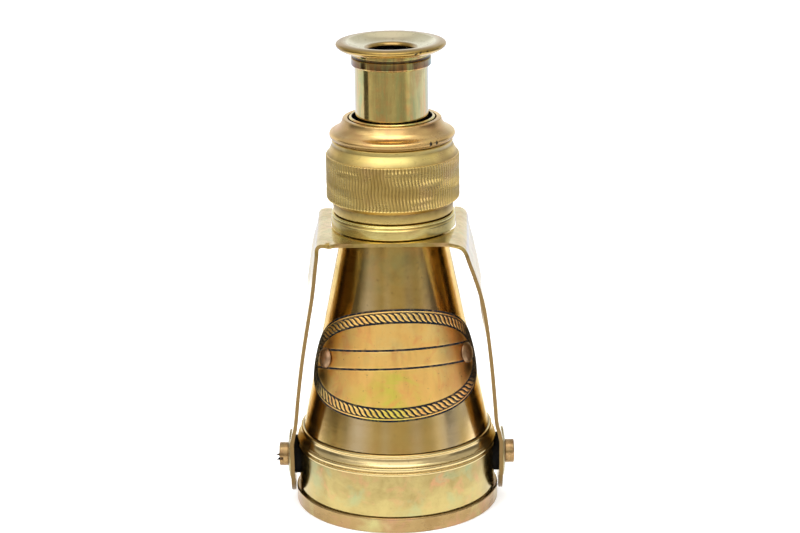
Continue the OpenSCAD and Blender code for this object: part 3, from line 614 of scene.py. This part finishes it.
def knurl(a, r, z):
    """A straight knurl that leans and sways a little and is struck twice in places, with a painted highlight on
    the chamfer.
    """
    turns = a - math.tan(LEAN) * (KNURL_TOP - z) / KNURL_R + 0.006 * np.sin(0.9 * z + 3 * a)
    groove = np.clip(1 - np.abs((turns * GROOVES / (2 * np.pi) + 0.1) % 1.0 - 0.5) / 0.36, 0, 1)
    again = (turns * (GROOVES - 2) / (2 * np.pi) + 0.16 * z) % 1.0
    again = np.clip(1 - np.abs(again - 0.5) / 0.3, 0, 1)
    struck = np.zeros_like(r)
    for at, up, wide, tall in DOUBLE_HITS:
        struck = np.maximum(struck, np.clip(1.8 - 1.2 * np.hypot(off(a, at) / wide, (z - up) / tall), 0, 1))
    on = (r > KNURL_R - 0.1) & (z > KNURL_Z - 0.05) & (z < KNURL_TOP + 0.05)
    cut = np.maximum(groove, 0.8 * again * struck) * on
    return -KNURL_DEEP * cut, 0.46 * cut, patches(a, CHAMFER_HIGHLIGHTS) * step(z, KNURL_TOP, KNURL_TOP + 0.4)


knurl_rows = [(KNURL_R, KNURL_Z + 0.35 + (KNURL_H - 0.7) * k / ROWS) for k in range(ROWS + 1)]
lathe("focus_ring",
      [(RING_SEAT_R + FIT, RING_LOW, 0), (REGISTER_R - 0.2, RING_LOW, 0.1), (REGISTER_R, RING_LOW + 0.2, 0.1),
       (REGISTER_R, 104.7, 0.15), (20.05, 104.95, 0.1), (21.4, KNURL_Z - 0.05, 0.15),
       (KNURL_R - 0.2, KNURL_Z, 0.1)] + knurl_rows
      + [(KNURL_R - 0.2, KNURL_TOP, 0.1), (21.4, KNURL_TOP + 0.1, 0.2), (20.35, 123.1, 0.5),
         (REGISTER_R, 124.2, 0.3), (REGISTER_R, RING_TOP - 0.3, 0.15), (REGISTER_R - 0.3, RING_TOP, 0.1),
         (SLEEVE_R + FIT, RING_TOP, 0), (SLEEVE_R + FIT, RING_TOP - 1.1, 0), (RELIEF_R, RING_TOP - 1.1, 0),
         (RELIEF_R, RING_SEAT_TOP + 0.3, 0), (RING_SEAT_R + FIT, RING_SEAT_TOP + 0.3, 0)],
      "focus_ring", knurled_brass, steps=9 * GROOVES, shape=knurl)

# Plaque
PLAQUE_A, PLAQUE_B, PLAQUE_Z, PLAQUE_T, TILT = 38.0, 18.6, 55.5, 0.8, math.radians(1.9)
SLANT = (APEX_Z - PLAQUE_Z) / math.cos(CONE_ANGLE)
PLAQUE_TOP = FIT + PLAQUE_T
STRANDS, STRAND_POINTS, BORDER, FIELD_IN = 90, 14, 4.8, 5.1
ROPE_IN, ROPE_OUT, ROPE_CUT, ROPE_CROWN = 1.28, 4.28, 0.11, 0.10
RULES = ((5.1, 0.42), (-1.0, 0.40))


def wrap(s, t, lift):
    """Points of the plaque's flat pattern, s across and t up, laid on the cone and lifted off it."""
    x, y = s * math.cos(TILT) - t * math.sin(TILT), s * math.sin(TILT) + t * math.cos(TILT)
    rho = np.sqrt(x ** 2 + (SLANT - y) ** 2)
    a = np.arctan2(x, SLANT - y) / math.sin(CONE_ANGLE)
    z = APEX_Z - rho * math.cos(CONE_ANGLE) + lift * math.sin(CONE_ANGLE)
    r = rho * math.sin(CONE_ANGLE) + lift * math.cos(CONE_ANGLE)
    return np.stack([r * np.sin(a), -r * np.cos(a), z], -1)


def border_relief(u, d):
    """Relief in mm and ink, 0 to 1, of the rope border at a place u round it and d in from the edge."""
    v = (d - 1.42) / 2.7
    w = 2 * v - 1
    f = (u * STRANDS + 0.34 * w + 0.46 * w ** 3) % 1.0
    half = 0.28 * np.sqrt(np.clip(1 - np.abs(w) ** 5, 0, 1))
    strand = (1 - step(np.abs(f - 0.5), half - 0.08, half + 0.04)) * ((v > 0) & (v < 1))
    rope = band(d, ROPE_IN, ROPE_OUT, 0.05)
    lines = np.maximum(np.maximum(band(d, -1, 0.72), band(d, 1.02, 1.3, 0.05)), band(d, 4.15, 6.0))
    ink = np.maximum(lines, rope * (1 - strand))
    crown = np.sqrt(np.clip(1 - ((f - 0.5) / np.maximum(half, 0.05)) ** 2, 0, 1)) * strand
    return ROPE_CROWN * crown * rope - ROPE_CUT * ink, ink


def plaque_mesh():
    """The plate's border as rings of points from its back over the edge inwards, and its field as a grid.
    Gives points, faces, ink and places in the flat pattern."""
    n = STRANDS * STRAND_POINTS
    fine = np.linspace(0, 2 * np.pi, 20001)
    speed = np.hypot((PLAQUE_A - 2.8) * np.sin(fine), (PLAQUE_B - 2.8) * np.cos(fine))
    run = np.concatenate([[0], np.cumsum((speed[1:] + speed[:-1]) / 2)])
    phi = np.interp(np.arange(n) / n, run / run[-1], fine)
    edge = np.stack([PLAQUE_A * np.cos(phi), PLAQUE_B * np.sin(phi)], 1)
    out = np.stack([np.cos(phi) / PLAQUE_A, np.sin(phi) / PLAQUE_B], 1)
    out /= np.linalg.norm(out, axis=1)[:, None]
    rings, inks, flats = [], [], []

    def ring(points, lift, ink):
        rings.append(wrap(points[:, 0], points[:, 1], lift))
        inks.append(ink + np.zeros(n))
        flats.append(points)

    spine = edge * (0.72, 0)
    for k in (0.8, 1.0):
        ring(spine + (edge - spine) * k, FIT, 0.6)
    for lift, inset, ink in ((FIT + 0.03, 0, 0.8), (PLAQUE_TOP - 0.3, 0, 0.8), (PLAQUE_TOP - 0.16, 0.03, 0.9),
                             (PLAQUE_TOP - 0.11, 0.14, 1.0)):
        ring(edge - out * inset, lift, ink)
    insets = [np.arange(0.25, 1.3, 0.07), np.arange(1.3, 4.35, 0.1), [4.4, 4.6, 4.85, FIELD_IN]]
    for d in np.concatenate(insets):
        relief, ink = border_relief(np.arange(n) / n, d)
        ring(edge - out * d, PLAQUE_TOP + relief, ink)
    inner = edge - out * FIELD_IN
    for k in (0.3, 0.7, 1.0):
        ring(inner + (inner * (0.72, 0) - inner) * k, PLAQUE_TOP - 0.25, 1.0)
    faces = grid_faces(len(rings), n, closed_columns=True).tolist()

    # The field's outline is the ring at its border, read as a half width w for each height ts
    right = (edge - out * (BORDER - 0.04))[np.cos(phi) >= 0]
    right = right[np.argsort(right[:, 1])]
    b = right[-1, 1]
    ts = list(b * np.sin(np.linspace(-np.pi / 2, np.pi / 2, 110)[1:-1]))
    for middle, half in RULES:
        ts = [t for t in ts if abs(t - middle) > half + 0.09]
        ts += [middle + sign * k for sign in (-1, 1) for k in (0.08, half - 0.07, half, half + 0.08)]
    ts = np.array([-b + 0.002] + sorted(ts) + [b - 0.002])
    w = np.interp(ts, right[:, 1], right[:, 0])
    even = np.linspace(-1, 1, 171)
    s = w[:, None] * (0.5 * np.sin(even * np.pi / 2) + 0.5 * even)[None, :]
    t = np.repeat(ts[:, None], len(even), 1)
    rule = np.max([band(np.abs(t - middle), -1, half - 0.02, 0.05) for middle, half in RULES], axis=0)
    rows, columns = s.shape
    first = n * len(rings)
    faces += (first + grid_faces(rows, columns)).tolist()

    # A wall goes down from the field's edge into the border's inner groove
    at = np.arange(rows * columns).reshape(rows, columns)
    wall = np.concatenate([at[0], at[1:, -1], at[-1, -2::-1], at[-2:0:-1, 0]]).tolist()
    low, m = first + rows * columns, len(wall)
    faces += [(first + wall[k], low + k, low + (k + 1) % m, first + wall[(k + 1) % m]) for k in range(m)]
    field = np.stack([s, t], 2).reshape(-1, 2)
    foot = field[wall]
    verts = np.concatenate(rings + [wrap(s, t, PLAQUE_TOP - 0.08 * rule).reshape(-1, 3),
                                    wrap(foot[:, 0], foot[:, 1], PLAQUE_TOP - 0.3)])
    ink = np.concatenate(inks + [rule.reshape(-1), np.ones(m)])
    return verts, faces, ink, np.concatenate(flats + [field, foot])


def plaque_brass():
    """Satin gold plate, with wax in its grooves and painted shade at the field's ends, and stains that follow
    the plate.
    """
    t = Tree("plaque_brass")
    at = t.coords()
    patch = t.noise(at, 60.0, 4.0, 0.6, 0.5)
    colour = t.ramp(patch, [(0.32, (0.84, 0.46, 0.13)), (0.5, (0.93, 0.58, 0.17)), (0.68, (0.95, 0.68, 0.24))])
    wobble = t.grade(t.noise(t.coords(shift=(4, 1, 2)), 90.0, 3.0, 0.6, 0.6), 0.3, 0.7, -6.0, 6.0)
    s = t.math("ADD", t.attribute("across"), wobble)
    up = t.math("ADD", t.attribute("up"), wobble)
    middle = t.grade(t.math("ABSOLUTE", t.math("ADD", s, 2.0)), 12.0, 2.0)
    olive = t.math("MULTIPLY", t.grade(up, -1.0, -7.0), middle)
    colour = t.mix(t.math("MULTIPLY", olive, 0.75), colour, (0.66, 0.62, 0.09))
    colour = t.mix(t.grade(s, 12.0, 26.0, 0, 0.45), colour, (0.84, 0.40, 0.20))
    colour = t.stain(colour, (0.86, 0.36, 0.12), 0.6, 0.53, 0.68, 130.0, (0, 6, 1), rough=0.65, distortion=0.8)
    colour = t.stain(colour, (0.46, 0.24, 0.06), 0.28, 0.5, 0.72, 260.0, stretch=(1, 1, 0.06))
    colour = t.stain(colour, (0.12, 0.06, 0.02), 0.6, 0.66, 0.76, 900.0, (9, 2, 4), 2.0, 0.7)
    colour = t.mix(t.attribute("smear"), colour, (0.10, 0.055, 0.02))
    worn = t.grade(t.noise(t.coords(shift=(2, 8, 5)), 700.0, 3.0, 0.7), 0.32, 0.5, 0.86, 1.0)
    ink = t.math("MULTIPLY", t.attribute("ink"), worn)
    wax = t.ramp(t.noise(at, 500.0, 3.0, 0.6), [(0.35, (0.004, 0.007, 0.009)), (0.65, (0.009, 0.016, 0.026))])
    shine = t.math("ADD", t.grade(patch, 0.3, 0.7, 0.42, 0.30), t.math("MULTIPLY", ink, 0.12))
    brushed = t.bump(t.noise(t.coords((1, 1, 0.03)), 1600.0, 3.0, 0.7), 0.00002, 0.4)
    normal = t.bump(t.noise(at, 220.0, 2.0, 0.5), 0.00005, 0.5, brushed)
    t.set(Specular_IOR_Level=0.08, Base_Color=t.mix(ink, colour, wax), Metallic=t.grade(ink, 0, 1, 1.0, 0.0),
          Roughness=shine, Normal=normal)
    return t.material


verts, faces, ink, flat = plaque_mesh()
s, t = flat[:, 0], flat[:, 1]
smear = np.clip(1.3 - np.hypot((s - 29.5) / 3.2, (t + 3.2) / 2.6), 0, 1) * 0.85
smear = np.maximum(smear, np.clip(1.25 - np.hypot((s + 30) / 2.6, (t + 3.6) / 2.0), 0, 1) * 0.6)
# Painted shade: the field is inked dark towards its ends, where the plate curves away round the cone
painted_dark_ends = step(np.abs(s), 24.0, 30.5) * (1 - step(np.abs(t - 1.0), 8.0, 13.0))
painted_dark_ends *= step(np.hypot(s / (PLAQUE_A - BORDER), t / (PLAQUE_B - BORDER)), 0.95, 1.0)
values = {"ink": np.maximum(ink, 0.96 * painted_dark_ends), "across": s, "up": t, "smear": smear}
new_object("plaque_look", verts, faces, "barrel", plaque_brass(), ["plaque"], values=values)

# Bracket
SHEET, SHEET_LOOK, PIVOT_Z, ARM_X, TIP_R = 1.1, 1.25, 15.3, 35.05, 12.3
PLATE_X, PLATE_Y, PLATE_TOP, SLOT_R, SLOT_Y = 24.9, 21.6, 95.9, 20.8, 3.2
MID_Z, TAPER_Z, FLAT_TOP = PLATE_TOP - SHEET / 2, 91.5, 23.8
CURL, CURL_DEPTH, DROOP, DROOP_X, DIP, DIP_X = 0.9, 3.0, 0.93, 15.5, 0.38, -20.9
ARM_POINTS, FRONT_POINTS, REAR_POINTS = 110, 26, 18
# An arm's sheet is a little twisted: its front and rear edges follow lines of their own up to the plate, as
# (distance from the axis, height). Each ends in a bend of a radius, or droops to a last point.
arm_foot = [(ARM_X, FLAT_TOP), (34.35, 27.2)]
edges = {
    "left_front": (1.6, [(33.55, 31), (32.35, 42), (30.6, 55), (28.7, 66.5), (26.8, 77.5), (25.6, 87),
                         (25.0, 91.5)]),
    "left_rear": (1.6, [(33.65, 31.5), (32.75, 42), (31.5, 54), (29.8, 67.5), (28.3, 78), (27.3, 84.5),
                        (26.3, 88.6), (25.2, 91.6)]),
    "right_front": (None, [(33.45, 31), (32.65, 42), (31.6, 54), (30.05, 67), (28.5, 75.8), (26.0, 84.3),
                           (24.5, 88.6), (23.4, 92.0), (22.3, 93.75)]),
    "right_rear": (3.4, [(33.65, 31.5), (32.75, 42), (31.6, 54), (29.9, 67.5), (28.0, 78.2), (26.9, 83.5),
                         (26.1, 87.2), (25.2, 90.4)]),
}
DROOP_END = (21.6, 94.15)


def smooth_path(points, spacing):
    """Points along a smooth curve through the given ones, about spacing apart."""
    p = np.array(points, float)
    q = np.vstack([2 * p[0] - p[1], p, 2 * p[-1] - p[-2]])
    out = []
    for i in range(1, len(q) - 2):
        q0, q1, q2, q3 = q[i - 1:i + 3]
        n = max(2, int(np.linalg.norm(q2 - q1) / spacing))
        for t in np.arange(n) / n:
            out.append(0.5 * (2 * q1 + (q2 - q0) * t + (2 * q0 - 5 * q1 + 4 * q2 - q3) * t * t
                              + (3 * q1 - q0 - 3 * q2 + q3) * t ** 3))
    return out + [q[-2]]


def droop(x):
    """How far the plate's front edge hangs down at x, where it was bent at the right."""
    return DROOP * np.clip((x - DROOP_X) / (SLOT_R - DROOP_X), 0, 1) ** 1.7


def curl_part(z):
    """Where along an arm its rear edge is curled in: the upper half, up to the bend."""
    return step(z, 48, 60) * (1 - step(z, 88, 93))


def edge_line(name):
    """One edge of an arm, from the flat foot up to the side of the plate's slot, as evenly spaced points."""
    radius, points = edges[name]
    path = smooth_path(arm_foot + points, 1.0)
    if radius:
        path += arc(PLATE_X - radius, MID_Z - radius, radius, 0, 90, 12)
        path += [(SLOT_R + (PLATE_X - radius - SLOT_R) * (1 - k / 4), MID_Z) for k in range(1, 5)]
    else:
        path += [DROOP_END, (SLOT_R, MID_Z - droop(SLOT_R))]
    path = np.array([tuple(p) for p in path])
    run = np.concatenate([[0], np.cumsum(np.linalg.norm(np.diff(path, axis=0), axis=1))])
    at = np.linspace(0, run[-1], ARM_POINTS)
    return np.stack([np.interp(at, run, path[:, 0]), np.interp(at, run, path[:, 1])], 1)


def half_depth(z):
    """Half of the sheet's depth: round at the foot, tapering up to the plate."""
    tip = math.radians(7)
    z0, y0 = PIVOT_Z - TIP_R * math.sin(tip), TIP_R * math.cos(tip)
    if z > TAPER_Z:
        return PLATE_Y
    if z > PIVOT_Z:
        return y0 + (PLATE_Y - y0) * (z - z0) / (TAPER_Z - z0)
    return math.sqrt(max(0.0, TIP_R ** 2 - (z - PIVOT_Z) ** 2))


def bracket_mesh():
    """The sheet's middle surface, as rows across its depth, from the left foot over the plate to the right
    foot. Gives points, faces and distances from the rear edge."""
    foot = list(PIVOT_Z - TIP_R * np.cos(np.linspace(0.06, np.pi / 2, 22)))
    foot = [((ARM_X, z), (ARM_X, z)) for z in foot + list(np.linspace(PIVOT_Z, FLAT_TOP, 12)[1:-1])]
    left = foot + list(zip(edge_line("left_front"), edge_line("left_rear")))
    right = foot + list(zip(edge_line("right_front"), edge_line("right_rear")))
    rows = [((-f[0], f[1]), (-r[0], r[1]), False) for f, r in left]
    for x in (SLOT_R * np.sin(np.linspace(-np.pi / 2, np.pi / 2, 91)))[1:-1]:
        rows.append(((x, MID_Z - droop(x)), (x, MID_Z), True))
    rows += [(f, r, False) for f, r in right[::-1]]
    verts, grid, from_rear = [], [], []
    for f, r, beside_slot in rows:
        half = half_depth((f[1] + r[1]) / 2)
        if beside_slot:
            slot = SLOT_Y - math.sqrt(max(0.0, SLOT_R ** 2 - f[0] ** 2))
            ys = list(np.linspace(-half, slot, FRONT_POINTS))
        else:
            middle = SLOT_Y * half / PLATE_Y
            ys = list(np.linspace(-half, middle, FRONT_POINTS))
            ys += list(np.linspace(middle, half, REAR_POINTS + 1)[1:])
        row = list(range(len(verts), len(verts) + len(ys)))
        grid.append(row + [None] * (FRONT_POINTS + REAR_POINTS - len(row)))
        for y in ys:
            t = (y + half) / (2 * half)
            x, z = f[0] + (r[0] - f[0]) * t, f[1] + (r[1] - f[1]) * t
            if not beside_slot:
                curl = CURL * max(0.0, 1 - (half - y) / CURL_DEPTH) ** 2 * curl_part(z)
                x -= math.copysign(curl, x)
            if z > TAPER_Z:
                z -= DIP * math.exp(-((x - DIP_X) / 1.1) ** 2 - (y + half) / 1.6)
            verts.append((x, y, z))
            from_rear.append(half - y)
    faces = []
    for row, after in zip(grid, grid[1:]):
        for j in range(len(row) - 1):
            face = (row[j], after[j], after[j + 1], row[j + 1])
            if None not in face:
                faces.append(face)
    return np.array(verts), faces, np.array(from_rear)


verts, faces, from_rear = bracket_mesh()
heights = verts[:, 2]
none = np.zeros(len(verts))
# The arms' edges below the plate take the edge brass's darker second colour, painted shade; the curled rear
# strip is darker too
values = {"extra": 1 - step(heights, 90.5, 94.2), "hollow": none, "sharp": none,
          "mark": 0.9 * (1 - step(from_rear, 1.4, CURL_DEPTH)) * curl_part(heights)}
bracket = new_object("bracket_look", verts, faces, "bracket", sheet_brass, ["bracket"],
                     values=values)
bracket.data.materials.append(shaded_sheet_edge)
solid = bracket.modifiers.new("sheet", "SOLIDIFY")
solid.thickness, solid.offset, solid.use_even_offset = SHEET_LOOK * MM, 0, True
solid.material_offset_rim = 1
bevel = bracket.modifiers.new("edges", "BEVEL")
bevel.width, bevel.segments, bevel.limit_method, bevel.angle_limit = 0.3 * MM, 3, "ANGLE", math.radians(40)
bracket.modifiers.new("normals", "WEIGHTED_NORMAL")

# Rivets, washers and screws
RIVETS = ((-26.6, 2.3), (27.8, 1.5))
SHANK_R, WASHER_R, WASHER_T = 2.0, 8.5, 1.24
HEAD_R, HEAD_T, SCREW_SLOT_W, SCREW_SLOT_DEEP = 4.0, 2.9, 1.15, 1.3
LEFT_SLOT_TURN, RIGHT_SLOT_TURN = 4, 72
WASHER_X = ARM_X + SHEET / 2 + 0.1
HEAD_X = WASHER_X + 1.3


def on_plaque(s, t):
    """A place on the plate and the direction straight out of it."""
    low, high = (wrap(np.array([s]), np.array([t]), PLAQUE_TOP + k)[0] for k in (0, 1))
    return {"centre": low, "axis": high - low}


def bare(points, sides, outward):
    """A part with no surface values, in the form that turned() gives."""
    outward = outward / np.linalg.norm(outward, axis=1)[:, None]
    return points, sides, outward, np.zeros((4, len(points)))


def half_head(up, turn, side):
    """One half of a slotted head, above or below its slot, which is turned from level."""
    rings = ((0, 0, 0.0), (0, HEAD_T - 0.4, 0.0), (0.08, HEAD_T - 0.16, 0.55), (0.24, HEAD_T - 0.04, 0.85),
             (0.4, HEAD_T, 1.0), (0.6, HEAD_T, 1.0))
    points, outward = [], []
    for inset, lift, flat in rings:
        r, chord = HEAD_R - inset, SCREW_SLOT_W / 2 + min(inset, 0.1)
        start = math.asin(chord / r)
        bow = np.linspace(start, math.pi - start, 48)
        line = np.linspace(-r * math.cos(start), r * math.cos(start), 14)[1:-1]
        y = np.concatenate([r * np.cos(bow), line])
        z = np.concatenate([r * np.sin(bow), np.full(len(line), chord)])
        ny = np.concatenate([np.cos(bow), np.zeros(len(line))])
        nz = np.concatenate([np.sin(bow), np.full(len(line), -1.0)])
        x = np.full(len(y), HEAD_X + (lift if lift else HEAD_T - SCREW_SLOT_DEEP))
        points.append(np.stack([x, y, z * up], 1))
        outward.append(np.stack([np.full(len(y), flat), ny * (1 - flat), nz * (1 - flat) * up], 1))
    m = len(points[0])
    c, s = math.cos(math.radians(turn)), math.sin(math.radians(turn))
    spin = np.array([[1, 0, 0], [0, c, s], [0, -s, c]])
    points, outward = np.concatenate(points) @ spin, np.concatenate(outward) @ spin
    sides = grid_faces(len(rings), m, closed_columns=True).tolist()
    sides.append(list(range((len(rings) - 1) * m, len(rings) * m)))
    if up * side < 0:
        sides = [q[::-1] for q in sides]
    return bare(points * (side, 1, 1) + (0, 0, PIVOT_Z), sides, outward * (side, 1, 1))


def burr(up, side):
    """A ragged lip of metal that a slipped blade raised along the slot's edge."""
    n = 16
    run = np.linspace(-3.55, -0.6, n)
    tall = 1.25 * np.exp(-((run + 2.75) / 0.55) ** 2) + 0.28 * np.exp(-((run + 1.5) / 0.5) ** 2) + 0.02
    top, low, points = HEAD_X + HEAD_T - 0.03, SCREW_SLOT_W / 2, []
    for y, h in zip(run, tall):
        points += [(top, y, low + 0.02), (top, y, low + 0.5), (top + h, y - 0.15 * h, low + 0.12 + 0.22 * h)]
    sides = [(3 * k + a, 3 * k + b, 3 * k + 3 + b, 3 * k + 3 + a)
             for k in range(n - 1) for a, b in ((0, 1), (1, 2), (2, 0))]
    sides += [(0, 1, 2), (3 * n - 1, 3 * n - 2, 3 * n - 3)]
    if up * side > 0:
        sides = [q[::-1] for q in sides]
    outward = np.tile([[-0.3 * side, 0, -0.95 * up], [-0.3 * side, 0, 0.95 * up], [side, -0.2, 0.1]], (n, 1))
    return bare(np.array(points) * (side, 1, up) + (0, 0, PIVOT_Z), sides, outward)


dome = [(0.02, -2.1), (1.2, -2.1), (1.2, 0.1), (3.2, 0.1), (3.5, 0.35, 0.15), (3.32, 0.75, 0.3),
        (2.7, 1.3, 0.6), (1.7, 1.75, 0.8), (0.7, 1.95, 0.6), (0.02, 2.0)]
joined("plaque_rivets", [turned(dome, 120, **on_plaque(*place)) for place in RIVETS],
       "barrel", copper_rivet)

washer = [(SHANK_R + FIT, 0), (WASHER_R - 0.2, 0, 0.1), (WASHER_R, 0.22, 0.15), (WASHER_R - 0.15, 0.48, 0.15),
          (7.2, 0.82, 0.8), (5.6, 1.1, 1.0), (4.2, WASHER_T, 0.5), (SHANK_R + FIT, WASHER_T)]
for name, side in (("left_washer", -1), ("right_washer", 1)):
    part = turned(washer, 180, centre=(side * WASHER_X, 0, PIVOT_Z), axis=(side, 0, 0))
    joined(name, [part], "barrel", washer_brass)

slot_floor = HEAD_T - SCREW_SLOT_DEEP
shank = [(0.02, -7.6), (SHANK_R, -7.6), (SHANK_R, 0), (HEAD_R, 0, 0.1), (HEAD_R, slot_floor),
         (0.02, slot_floor)]
shanks = [turned(shank, 96, 0.05, centre=(side * HEAD_X, 0, PIVOT_Z), axis=(side, 0, 0)) for side in (-1, 1)]
heads = [half_head(up, turn, side) for side, turn in ((-1, LEFT_SLOT_TURN), (1, RIGHT_SLOT_TURN))
         for up in (1, -1)]
joined("pivot_screws", shanks + heads + [burr(1, -1), burr(-1, -1)], "barrel", screw_brass)

# Floor and soft light
FLOOR_HALF_M = 8
floor_look = Tree("floor")
floor_look.set(Base_Color=(0.90, 0.90, 0.90, 1), Roughness=0.7, Emission_Color=(1, 1, 1, 1),
               Emission_Strength=0.35)
mesh = bpy.data.meshes.new("floor")
corners = [(x * FLOOR_HALF_M, y * FLOOR_HALF_M, 0) for x, y in ((-1, -1), (1, -1), (1, 1), (-1, 1))]
mesh.from_pydata(corners, [], [(0, 1, 2, 3)])
mesh.materials.append(floor_look.material)
floor = bpy.data.objects.new("floor", mesh)
scene.collection.objects.link(floor)

world = bpy.data.worlds.new("studio")
world.use_nodes = True
background = world.node_tree.nodes["Background"]
background.inputs[0].default_value = (1.0, 1.0, 1.0, 1)
background.inputs[1].default_value = 0.55
scene.world = world

for name, place, size, power in (("key", (-0.9, -0.7, 1.3), 0.7, 14), ("fill", (1.0, -0.6, 1.1), 0.7, 9),
                                 ("top", (0.0, 0.3, 1.6), 1.0, 12)):
    light = bpy.data.lights.new(name, "AREA")
    light.shape, light.size, light.size_y, light.energy = "RECTANGLE", size, size, power
    obj = bpy.data.objects.new(name, light)
    scene.collection.objects.link(obj)
    obj.location = place
    obj.rotation_euler = (Vector((0, 0, 0.08)) - Vector(place)).to_track_quat("-Z", "Y").to_euler()
    obj.visible_camera = False

# A room and a carpet that only reflections see. Their shades are (direction, shade) all the way round: ROOM at
# the level of the barrel, HIGH above it, FLOOR_FAR on the carpet, and COOL how bluish the carpet is.
ROOM_M, ROOM_UP_M, CARPET_M, CARPET_UP_M = 0.8, 0.06, (0.26, 0.80), 0.0004
ROOM = ((-180, 1.0), (-120, 0.95), (-108, 0.20), (-66, 0.18), (-60, 0.55), (-50, 0.62), (-31, 0.62),
        (-25, 0.54), (45, 0.52), (51, 0.75), (61, 0.75), (67, 0.18), (112, 0.20), (124, 0.95), (180, 1.0))
HIGH = ((-180, 0.70), (-120, 0.60), (-66, 0.42), (-50, 0.38), (-40, 1.30), (26, 1.30), (38, 0.42), (60, 0.42),
        (120, 0.60), (180, 0.70))
FLOOR_NEAR = ((0.26, 1.0), (0.30, 0.85), (0.335, 0.50), (0.42, 0.44))
FLOOR_FAR = ((-180, 1.0), (-128, 1.0), (-98, 0.95), (-95, 0.10), (-78, 0.08), (-75, 0.62), (-66, 0.55),
             (-58, 0.44), (-20, 0.42), (20, 0.44), (30, 0.36), (42, 0.42), (48, 0.66), (58, 0.70), (66, 0.62),
             (95, 0.80), (125, 1.0), (180, 1.0))
COOL = ((-180, 0.3), (-128, 0.6), (-98, 0.5), (-95, 0.0), (50, 0.0), (66, 0.5), (100, 0.8), (140, 0.6),
        (180, 0.3))


def between(x, knots):
    """A value read off a row of (place, value)."""
    places, values = zip(*knots)
    return np.interp(x, places, values)


def room_shade(az, el):
    """The room's shade by direction and height in degrees, under a bright ceiling."""
    low, high = between(az, ROOM), between(az, HIGH)
    rise = step(el, 22.0, 34.0) * (np.abs(az) > 110) + step(el, 12.0, 27.0) * (np.abs(az) <= 110)
    ceiling = step(el, 55.0, 64.0)
    ahead = (1 - step(np.abs(az), 45.0, 80.0)) * (1 - step(el, 78.0, 86.0))
    return (low * (1 - rise) + high * rise) * (1 - ceiling) + (0.95 + 1.7 * ahead) * ceiling


def floor_shade(az, r):
    """The carpet's shade by direction and distance, bright behind."""
    w = step(r, 0.40, 0.43)
    shade = between(r, FLOOR_NEAR) * (1 - w) + between(az, FLOOR_FAR) * w
    behind = step(np.abs(az), 105.0, 135.0)
    return shade * (1 - behind) + behind


def tinted(shade, cool=0.0):
    """Dark parts of the room are warm and bright ones white; cool makes a part bluish."""
    k = np.clip(shade, 0, 1)[..., None]
    cool = np.asarray(cool)[..., None]
    warm, bluish = np.array((1.0, 0.94, 0.84)) * (1 - k) + k, 1 - cool + cool * np.array((0.8, 1.0, 1.7))
    return shade[..., None] * warm * bluish


def glow(name, points, shades):
    """A glowing sheet, from a grid of points in metres and their colours."""
    mesh = bpy.data.meshes.new(name)
    mesh.from_pydata(points.reshape(-1, 3).tolist(), [], grid_faces(*points.shape[:2]).tolist())
    colours = mesh.color_attributes.new("glow", "FLOAT_COLOR", "POINT")
    shades = shades.reshape(-1, 3)
    shades = np.concatenate([shades, np.ones((len(shades), 1))], 1)
    colours.data.foreach_set("color", shades.astype(np.float32).reshape(-1))
    look = bpy.data.materials.new(name)
    look.use_nodes = True
    tree = look.node_tree
    tree.nodes.clear()
    seen, light, out = (tree.nodes.new("ShaderNode" + k) for k in ("Attribute", "Emission", "OutputMaterial"))
    seen.attribute_name = "glow"
    tree.links.new(seen.outputs["Color"], light.inputs[0])
    tree.links.new(light.outputs[0], out.inputs[0])
    mesh.materials.append(look)
    obj = bpy.data.objects.new(name, mesh)
    scene.collection.objects.link(obj)
    obj.visible_camera = obj.visible_diffuse = obj.visible_shadow = obj.visible_transmission = False


round_about = np.arange(-180, 181, 2.0)
az, el = np.meshgrid(round_about, np.arange(-6, 91, 2.0), indexing="ij")
a, e = np.radians(az), np.radians(el)
room = np.stack([np.sin(a) * np.cos(e), -np.cos(a) * np.cos(e), np.sin(e)], -1) * ROOM_M + (0, 0, ROOM_UP_M)
glow("room", room, tinted(room_shade(az, el)))
az, far = np.meshgrid(round_about, np.linspace(*CARPET_M, 60), indexing="ij")
a = np.radians(az)
carpet = np.stack([far * np.sin(a), -far * np.cos(a), np.full_like(far, CARPET_UP_M)], -1)
glow("carpet", carpet, tinted(floor_shade(az, far), between(az, COOL) * step(far, 0.38, 0.42)))

scene.view_settings.view_transform = "Standard"
scene.view_settings.look = "None"
scene.view_settings.exposure = 0.0
